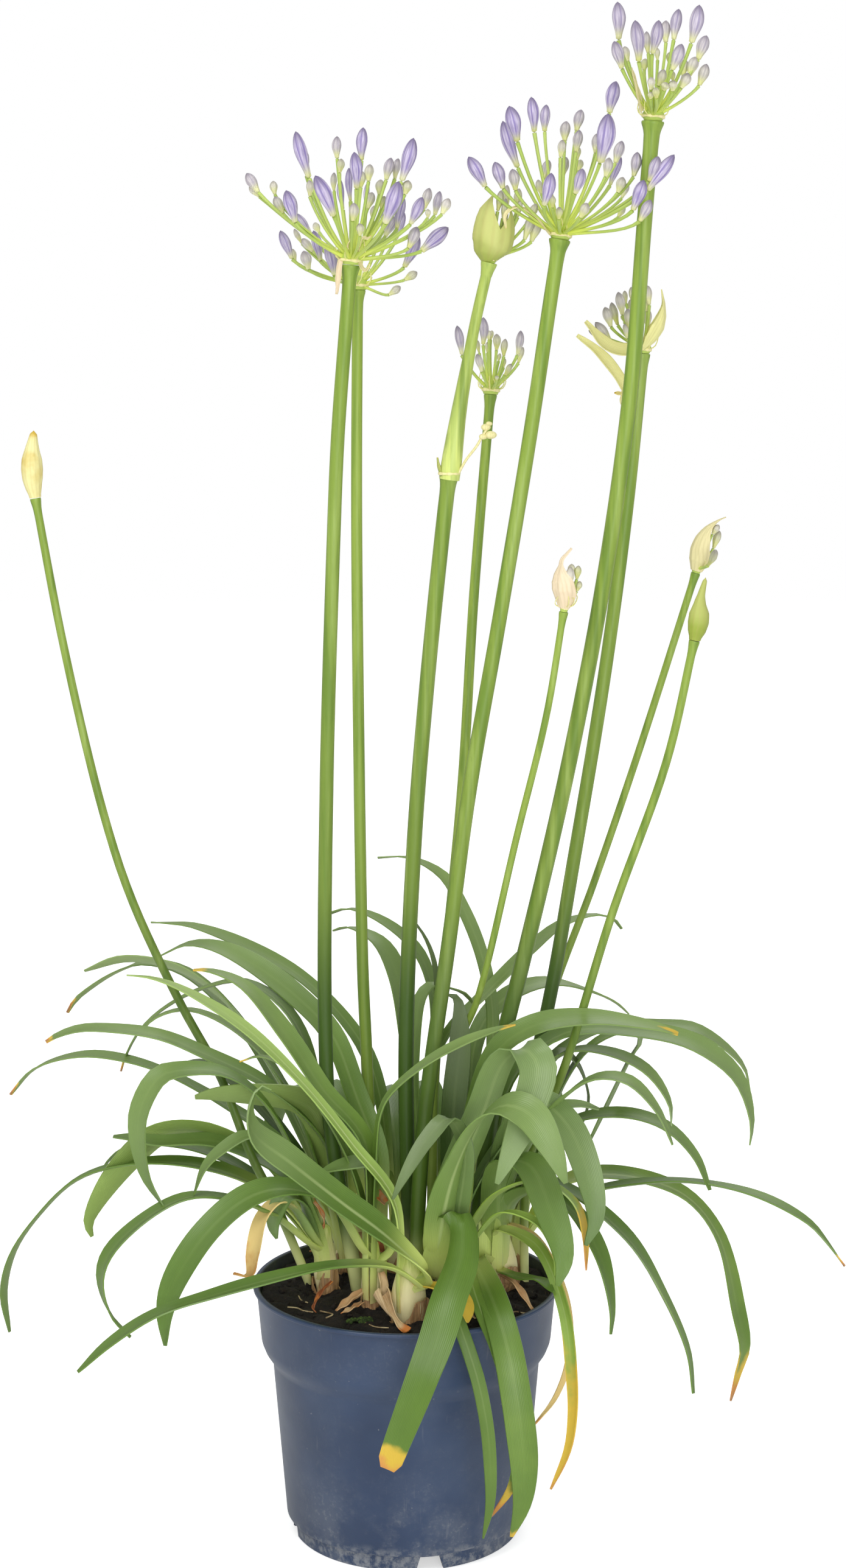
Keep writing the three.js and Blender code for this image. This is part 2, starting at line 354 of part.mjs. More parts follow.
// Bud cases still shut: their radii at even steps from the stem's end to the beak, and their route from there
const BUD_CASES = [
  { name: "bud_case_far_right", stem: "scape_far_right", radii: [3, 5, 5.9, 4.6, 2.6, 1.9],
    route: [[2, 0, 11], [3, 0, 24], [6, 0, 37]] },
  { name: "bud_case_far_left", stem: "scape_far_left", radii: [3.2, 5, 6.2, 6.2, 3.6, 2.2],
    route: [[-1.5, 0.2, 11], [-1.5, 0.2, 26], [0, 0, 40]] },
];

// ---------- colours ----------

const POT_BLUE = 0x4d5a66;
const SOIL_BROWN = 0x2a221b;
const LEAF_GREEN = 0x5d7a35;
const SCAPE_GREEN = 0x7f9a4a;
const BUD_VIOLET = 0x9d94c4;
const CASE_GREEN = 0xa9b97a;
const CASE_CREAM = 0xcfc08f;

// ---------- solids ----------

// A closed geometry becomes a solid with its faces pointing out.
function solid(geometry) {
  const bare = new THREE.BufferGeometry();
  bare.setAttribute("position", geometry.getAttribute("position"));
  bare.setIndex(geometry.getIndex());
  const merged = mergeVertices(bare, 1e-4);
  const vertProperties = new Float32Array(merged.getAttribute("position").array);
  const corner = (i) => new THREE.Vector3().fromArray(vertProperties, 3 * i);
  const faces = [];
  let volume = 0;
  const index = merged.getIndex().array;
  for (let i = 0; i < index.length; i += 3) {
    const [a, b, c] = index.slice(i, i + 3);
    if (a === b || b === c || c === a) continue;
    faces.push([a, b, c]);
    volume += corner(a).dot(corner(b).cross(corner(c)));
  }
  const triVerts = new Uint32Array(faces.map((face) => (volume < 0 ? face.reverse() : face)).flat());
  return new wasm.Manifold(new wasm.Mesh({ numProp: 3, vertProperties, triVerts }));
}

// Fusing can shut in a hollow or cut off a scrap: only the body itself is kept, filled.
function wholeBody(shape) {
  return shape.decompose().reduce((most, piece) => (piece.volume() > most.volume() ? piece : most));
}

function addMesh(group, name, shape, color, roughness) {
  const { vertProperties, triVerts } = wholeBody(shape).getMesh();
  const geometry = new THREE.BufferGeometry();
  geometry.setAttribute("position", new THREE.BufferAttribute(vertProperties, 3));
  geometry.setIndex(new THREE.BufferAttribute(triVerts, 1));
  geometry.computeVertexNormals();
  const mesh = new THREE.Mesh(geometry, new THREE.MeshStandardMaterial({ color, roughness, metalness: 0 }));
  mesh.name = name;
  group.add(mesh);
}

// A closed skin through rings of points; a last ring of one point is an apex. `flipped` lists the sides
// whose faces are split along their other diagonal.
function loft(rings, flipped = []) {
  const sides = rings[0].length;
  const index = [];
  for (let i = 1; i < sides - 1; i++) index.push(0, i + 1, i);
  for (let ring = 0; ring < rings.length - 1; ring++) {
    const low = ring * sides;
    const high = low + sides;
    for (let i = 0; i < sides; i++) {
      const next = (i + 1) % sides;
      if (rings[ring + 1].length === 1) {
        index.push(low + i, low + next, high);
      } else if (flipped.includes(i)) {
        index.push(low + i, low + next, high + i, low + next, high + next, high + i);
      } else {
        index.push(low + i, low + next, high + next, low + i, high + next, high + i);
      }
    }
  }
  const last = (rings.length - 1) * sides;
  if (rings.at(-1).length > 1) for (let i = 1; i < sides - 1; i++) index.push(last, last + i, last + i + 1);
  const geometry = new THREE.BufferGeometry().setFromPoints(rings.flat());
  geometry.setIndex(index);
  return solid(geometry);
}

function lathe(profile, sides) {
  const points = profile.map(([radius, z]) => new THREE.Vector2(radius, z));
  return solid(new THREE.LatheGeometry(points, sides).rotateX(Math.PI / 2));
}

function curveOf(route) {
  const points = route.map((point) => new THREE.Vector3(...point));
  return new THREE.CatmullRomCurve3(points, false, "centripetal");
}

// A round ring square to `along`, its first point toward `reference`
function ring(centre, along, reference, radius, sides) {
  const across = reference.clone().addScaledVector(along, -reference.dot(along)).normalize();
  const up = along.clone().cross(across);
  return Array.from({ length: sides }, (_, i) => {
    const angle = (2 * Math.PI * i) / sides;
    return centre.clone()
      .addScaledVector(across, radius * Math.cos(angle))
      .addScaledVector(up, radius * Math.sin(angle));
  });
}

// The value at `share` (0 to 1) of a list whose numbers stand at even steps
function along(list, share) {
  const place = share * (list.length - 1);
  const low = Math.min(Math.floor(place), list.length - 2);
  return THREE.MathUtils.lerp(list[low], list[low + 1], place - low);
}

// A tapered skin through round rings: each station is its share of the curve's length and its radius.
function tube(route, stations, sides) {
  const curve = curveOf(route);
  const reference = new THREE.Vector3(1, 0, 0);
  return loft(stations.map(([share, radius]) =>
    ring(curve.getPointAt(share), curve.getTangentAt(share), reference, radius, sides)));
}

// ---------- pot and soil ----------

function makePot() {
  const inside = POT_HEIGHT - LIP_HEIGHT;
  const profile = [
    [0, FOOT_HEIGHT], [FOOT_RADIUS - FOOT_WALL, FOOT_HEIGHT], [FOOT_RADIUS - FOOT_WALL, 0],
    [FOOT_RADIUS - 0.8, 0], [FOOT_RADIUS, 0.8], [FOOT_RADIUS + 0.4, FOOT_HEIGHT],
    [BODY_FOOT_RADIUS, FOOT_HEIGHT + 1.2], [BODY_TOP_RADIUS, BODY_TOP_Z], [SHOULDER_RADIUS, SHOULDER_Z],
    [BAND_FOOT_RADIUS, BAND_FOOT_Z], [BAND_TOP_RADIUS, inside], [LIP_RADIUS, inside + 0.6],
    [LIP_RADIUS, POT_HEIGHT - 0.8], [LIP_RADIUS - 1, POT_HEIGHT], [BAND_TOP_RADIUS - WALL, POT_HEIGHT - 0.4],
    [BAND_FOOT_RADIUS - WALL, BAND_FOOT_Z + 0.6], [SHOULDER_RADIUS - WALL, SHOULDER_Z + 1],
    [BODY_TOP_RADIUS - WALL, BODY_TOP_Z + 0.6], [BODY_FOOT_RADIUS - WALL, FLOOR_Z], [0, FLOOR_Z],
  ];
  const notchShape = new THREE.Shape([
    new THREE.Vector2(-NOTCH_WIDTH / 2, -1), new THREE.Vector2(NOTCH_WIDTH / 2, -1),
    new THREE.Vector2(NOTCH_WIDTH / 2, NOTCH_HEIGHT * 0.35),
    new THREE.Vector2(NOTCH_TOP_WIDTH / 2, NOTCH_HEIGHT),
    new THREE.Vector2(-NOTCH_TOP_WIDTH / 2, NOTCH_HEIGHT),
    new THREE.Vector2(-NOTCH_WIDTH / 2, NOTCH_HEIGHT * 0.35),
  ]);
  const tools = [];
  for (let i = 0; i < NOTCH_COUNT; i++) {
    const notch = new THREE.ExtrudeGeometry(notchShape, { depth: 4 * FOOT_WALL, bevelEnabled: false });
    notch.rotateX(Math.PI / 2).translate(0, -(FOOT_RADIUS - 2 * FOOT_WALL), 0);
    notch.rotateZ(THREE.MathUtils.degToRad(NOTCH_FIRST_ANGLE + 90 + (360 / NOTCH_COUNT) * i));
    tools.push(solid(notch));
  }
  for (let i = 0; i < DRAIN_COUNT; i++) {
    const angle = (2 * Math.PI * i) / DRAIN_COUNT;
    const drain = new THREE.CylinderGeometry(DRAIN_RADIUS, DRAIN_RADIUS, 8, 8).rotateX(Math.PI / 2);
    drain.translate(DRAIN_CIRCLE * Math.cos(angle), DRAIN_CIRCLE * Math.sin(angle), FLOOR_Z - 1);
    tools.push(solid(drain));
  }
  return tools.reduce((pot, tool) => pot.subtract(tool), lathe(profile, POT_SIDES));
}

// The soil's surface: a low mound with lumps
function soilHeight(x, y) {
  const mound = SOIL_MOUND * (1 - (x * x + y * y) / (LIP_RADIUS * LIP_RADIUS));
  const lumps = 0.9 * Math.sin(0.23 * x + 1) * Math.cos(0.19 * y) + 0.7 * Math.sin(0.41 * y + 0.31 * x);
  return SOIL_EDGE_Z + mound + lumps;
}

function makeSoil(tools) {
  const inner = WALL + GAP;
  const profile = [
    [0, FLOOR_Z + GAP], [BODY_FOOT_RADIUS - inner, FLOOR_Z + GAP], [BODY_TOP_RADIUS - inner, BODY_TOP_Z + 1],
    [SHOULDER_RADIUS - inner, SHOULDER_Z + 1.6], [BAND_FOOT_RADIUS - inner, BAND_FOOT_Z + 1.2],
    ...SOIL_RINGS.map((radius) => [radius, SOIL_EDGE_Z]), [0, SOIL_EDGE_Z],
  ];
  const points = profile.map(([radius, z]) => new THREE.Vector2(radius, z));
  const geometry = new THREE.LatheGeometry(points, POT_SIDES).rotateX(Math.PI / 2);
  const position = geometry.getAttribute("position");
  for (let i = 0; i < position.count; i++) {
    if (position.getZ(i) < SOIL_EDGE_Z - 1) continue;
    position.setZ(i, soilHeight(position.getX(i), position.getY(i)));
  }
  return tools.reduce((soil, tool) => soil.subtract(tool), solid(geometry));
}

// ---------- shoots ----------

function crown({ at, girth, neck }) {
  const waist = neck * girth;
  const profile = [
    [0, CROWN_FOOT_Z], [waist, CROWN_FOOT_Z], [waist, CROWN_FLARE_Z], [girth, CROWN_FLARE_Z + 8],
    [girth, CROWN_TOP_Z - 20], [0.5 * girth, CROWN_TOP_Z], [0, CROWN_TOP_Z],
  ];
  return lathe(profile, CROWN_SIDES).translate([at[0], at[1], 0]);
}

function crownHole({ at, girth, neck }) {
  const radius = neck * girth + GAP;
  const profile = [[0, CROWN_FOOT_Z - GAP], [radius, CROWN_FOOT_Z - GAP], [radius, CROWN_FLARE_Z],
    [0, CROWN_FLARE_Z]];
  return lathe(profile, CROWN_SIDES).translate([at[0], at[1], 0]);
}

// Shares of the curve's length for a blade's sections, closer together where the curve bends
function sectionPlaces(curve) {
  const samples = 80;
  const effort = [0];
  for (let i = 1; i <= samples; i++) {
    const bend = curve.getTangentAt((i - 1) / samples).angleTo(curve.getTangentAt(i / samples));
    effort.push(effort.at(-1) + curve.getLength() / samples / BLADE_STEP
      + THREE.MathUtils.radToDeg(bend) / BLADE_BEND_STEP);
  }
  const steps = Math.max(BLADE_FEWEST_STEPS, Math.round(effort.at(-1)));
  return Array.from({ length: steps + 1 }, (_, i) => {
    const wanted = (effort.at(-1) * i) / steps;
    const high = Math.max(1, effort.findIndex((value) => value >= wanted - 1e-9));
    const part = (wanted - effort[high - 1]) / (effort[high] - effort[high - 1]);
    return Math.min(1, (high - 1 + part) / samples);
  });
}

// A blade's width along its length: narrow where it sheathes the crown, then a strap with a rounded tip
function leafWidth(share) {
  const base = THREE.MathUtils.lerp(0.62, 1, Math.min(1, share / 0.3));
  return share < 0.66 ? base : base * (1 - 0.86 * ((share - 0.66) / 0.34) ** 2.4);
}

function bractWidth(share) {
  return 0.35 + 0.65 * Math.sin(Math.PI * Math.min(1, 0.15 + 0.8 * share)) - 0.25 * share;
}

// A long thin blade. Its width lies square to the way it heads from base to tip, turned by `turn`.
function blade([width, turn, route], widthAt = leafWidth, channel = BLADE_CHANNEL) {
  const curve = curveOf(route);
  const [start, end] = [route[0], route.at(-1)];
  const heading = new THREE.Vector3(end[0] - start[0], end[1] - start[1], 0).normalize();
  const level = new THREE.Vector3(0, 0, 1).cross(heading);
  const front = heading.x >= 0 ? 1 : -1;
  const rings = sectionPlaces(curve).map((share) => {
    const middle = curve.getPointAt(share);
    const tangent = curve.getTangentAt(share);
    const side = level.clone().addScaledVector(tangent, -level.dot(tangent)).normalize();
    side.applyAxisAngle(tangent, THREE.MathUtils.degToRad(front * along(turn, share)));
    const up = tangent.clone().cross(side);
    const half = (width / 2) * widthAt(share);
    const dip = 2 * half * channel;
    const point = (across, rise) => middle.clone().addScaledVector(side, across).addScaledVector(up, rise);
    const under = -BLADE_THICKNESS;
    const edges = [point(-half, under), point(half, under), point(half, 0), point(-half, 0)];
    if (width < NARROW_BLADE) return edges;
    const [leftUnder, rightUnder, right, left] = edges;
    return [point(0, under - dip), rightUnder, right, point(0, -dip), left, leftUnder];
  });
  return loft(rings, width < NARROW_BLADE ? [2] : [2, 5]);
}

// A leaf starts inside its crown, on the side that it heads to: the steeper it rises, the higher up.
function leaf({ at, girth }, [width, turn, route]) {
  const reach = new THREE.Vector2(route[0][0] - at[0], route[0][1] - at[1]);
  const steepness = Math.atan2(route[0][2] - CROWN_FLARE_Z, reach.length()) / (Math.PI / 2);
  const toward = reach.setLength(girth * LEAF_ROOT_REACH * (1 - steepness));
  const root = [at[0] + toward.x, at[1] + toward.y, CROWN_FLARE_Z + LEAF_ROOT_RISE * steepness];
  return blade([width, turn, [root, ...route]]);
}

function makeShoot(shoot) {
  return shoot.leaves.reduce((whole, each) => whole.add(leaf(shoot, each)), crown(shoot));
}

// ---------- scapes and umbels ----------

// A stem that tapers up to its collar
function scape({ foot, top, collar, route }) {
  const length = curveOf(route).getLength();
  const neck = 1 - COLLAR_HEIGHT / length;
  const stations = Array.from({ length: SCAPE_STEPS + 1 }, (_, i) => {
    const share = (neck * i) / SCAPE_STEPS;
    return [share, THREE.MathUtils.lerp(foot, top, share)];
  });
  stations.push([1 - (0.35 * COLLAR_HEIGHT) / length, collar], [1, 0.93 * collar]);
  return tube(route, stations, foot > THICK_SCAPE ? THICK_SCAPE_SIDES : THIN_SCAPE_SIDES);
}

// The plain round hole that a stem's foot stands in
function scapeHole({ foot, route }) {
  const curve = curveOf(route);
  const neck = 1 - COLLAR_HEIGHT / curve.getLength();
  const low = curve.getPointAt(0);
  const rise = curve.getPointAt(neck / SCAPE_STEPS).sub(low).normalize();
  const reference = new THREE.Vector3(1, 0, 0);
  const sides = foot > THICK_SCAPE ? THICK_SCAPE_SIDES : THIN_SCAPE_SIDES;
  return loft([-GAP - 0.3, SCAPE_HOLE_DEPTH].map((distance) =>
    ring(low.clone().addScaledVector(rise, distance), rise, reference, foot + 2 * GAP, sides)));
}

// A bud on its pedicel, as one slim solid from the receptacle to the bud's tip. Small buds are plainer.
function bud(centre, dome, places) {
  const end = new THREE.Vector3(...places.slice(0, 3)).add(centre);
  const tip = new THREE.Vector3(...places.slice(3, 6)).add(centre);
  const girth = BUD_FULLNESS * places[6];
  const stalk = end.clone().sub(centre).normalize();
  const axis = tip.clone().sub(end).normalize();
  const reference = Math.abs(axis.y) > 0.8 ? new THREE.Vector3(0, 0, 1) : new THREE.Vector3(0, 1, 0);
  const long = tip.distanceTo(end) > LONG_BUD;
  const sides = long ? LONG_BUD_SIDES : SHORT_BUD_SIDES;
  const budRing = (share, radius) => ring(end.clone().lerp(tip, share), axis, reference, radius, sides);
  return loft([
    ring(centre.clone().addScaledVector(stalk, 0.7 * dome), stalk, reference, PEDICEL_RADIUS, sides),
    budRing(0, PEDICEL_RADIUS * 1.1),
    budRing(0.45, girth),
    ...(long ? [budRing(0.8, 0.75 * girth)] : []),
    [tip],
  ]);
}

// Where a stem ends and which way it points there
function stemEnd(name) {
  const { route } = name === TWO_TIER.name ? TWO_TIER.upper : SCAPES.find((each) => each.name === name);
  return { end: new THREE.Vector3(...route.at(-1)), axis: curveOf(route).getTangentAt(1) };
}

// The receptacle is a dome square on the stem's end, and the buds spread from its middle.
function makeUmbel({ stem, dome, buds }) {
  const { end, axis } = stemEnd(stem);
  const centre = end.clone().addScaledVector(axis, RECEPTACLE_HEIGHT);
  const domeRing = (rise, share) =>
    ring(centre.clone().addScaledVector(axis, rise), axis, new THREE.Vector3(1, 0, 0), share * dome,
      THICK_SCAPE_SIDES);
  const receptacle = loft([
    domeRing(GAP - RECEPTACLE_HEIGHT, 0.8),
    domeRing(0, 1),
    domeRing(0.6 * dome, 0.7),
    [centre.clone().addScaledVector(axis, 0.9 * dome)],
  ]);
  return buds.reduce((umbel, each) => umbel.add(bud(centre, dome, each)), receptacle);
}

function makeBudCase({ stem, route, radii }) {
  const { end, axis } = stemEnd(stem);
  const foot = end.clone().addScaledVector(axis, GAP);
  const places = route.map((step) => foot.clone().add(new THREE.Vector3(...step)).toArray());
  return tube([foot.toArray(), ...places], radii.map((radius, i) => [i / (radii.length - 1), radius]),
    THICK_SCAPE_SIDES);
}

function withBracts(name, shape) {
  return (BRACTS[name] ?? []).reduce((whole, [width, route]) =>
    whole.add(blade([width, [0, 0], route], bractWidth, 0.22)), shape);
}

// ---------- the whole plant ----------

const plant = new THREE.Group();
const soilHoles = [...SHOOTS.map(crownHole), ...SCAPES.map(scapeHole), scapeHole(TWO_TIER.lower)];
addMesh(plant, "pot", makePot(), POT_BLUE, 0.5);
addMesh(plant, "soil", makeSoil(soilHoles), SOIL_BROWN, 1);
for (const name of new Set(SHOOTS.map((shoot) => shoot.name))) {
  const shoots = SHOOTS.filter((shoot) => shoot.name === name).map(makeShoot);
  addMesh(plant, name, shoots.reduce((clump, shoot) => clump.add(shoot)), LEAF_GREEN, 0.5);
}
for (const each of SCAPES) addMesh(plant, each.name, withBracts(each.name, scape(each)), SCAPE_GREEN, 0.5);
addMesh(plant, TWO_TIER.name, scape(TWO_TIER.lower).add(scape(TWO_TIER.upper)), SCAPE_GREEN, 0.5);
for (const each of UMBELS) addMesh(plant, each.name, withBracts(each.name, makeUmbel(each)), BUD_VIOLET, 0.6);
addMesh(plant, BUD_CASES[0].name, makeBudCase(BUD_CASES[0]), CASE_GREEN, 0.6);
addMesh(plant, BUD_CASES[1].name, makeBudCase(BUD_CASES[1]), CASE_CREAM, 0.8);

export default plant;
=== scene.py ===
"""A potted agapanthus about to flower: the looks of its pot, soil, leaves, stems and umbels.

Every table is in millimetres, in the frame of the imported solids. Meshes are in metres.
"""

import math
import random

import bpy
from mathutils import Matrix, Vector, noise


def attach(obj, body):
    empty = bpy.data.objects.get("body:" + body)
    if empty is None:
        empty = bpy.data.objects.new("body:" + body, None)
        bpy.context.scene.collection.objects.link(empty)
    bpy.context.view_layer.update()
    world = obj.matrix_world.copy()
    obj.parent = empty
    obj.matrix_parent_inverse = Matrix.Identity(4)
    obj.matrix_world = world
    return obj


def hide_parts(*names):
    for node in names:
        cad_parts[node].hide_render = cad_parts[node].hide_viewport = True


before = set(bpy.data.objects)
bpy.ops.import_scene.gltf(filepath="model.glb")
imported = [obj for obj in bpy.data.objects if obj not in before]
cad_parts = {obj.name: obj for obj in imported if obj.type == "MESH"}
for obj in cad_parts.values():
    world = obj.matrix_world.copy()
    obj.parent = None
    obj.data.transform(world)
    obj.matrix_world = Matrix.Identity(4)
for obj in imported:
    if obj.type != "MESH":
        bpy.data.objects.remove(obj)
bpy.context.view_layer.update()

MM = 0.001
random.seed(11)

# ---------- the plant's own places ----------

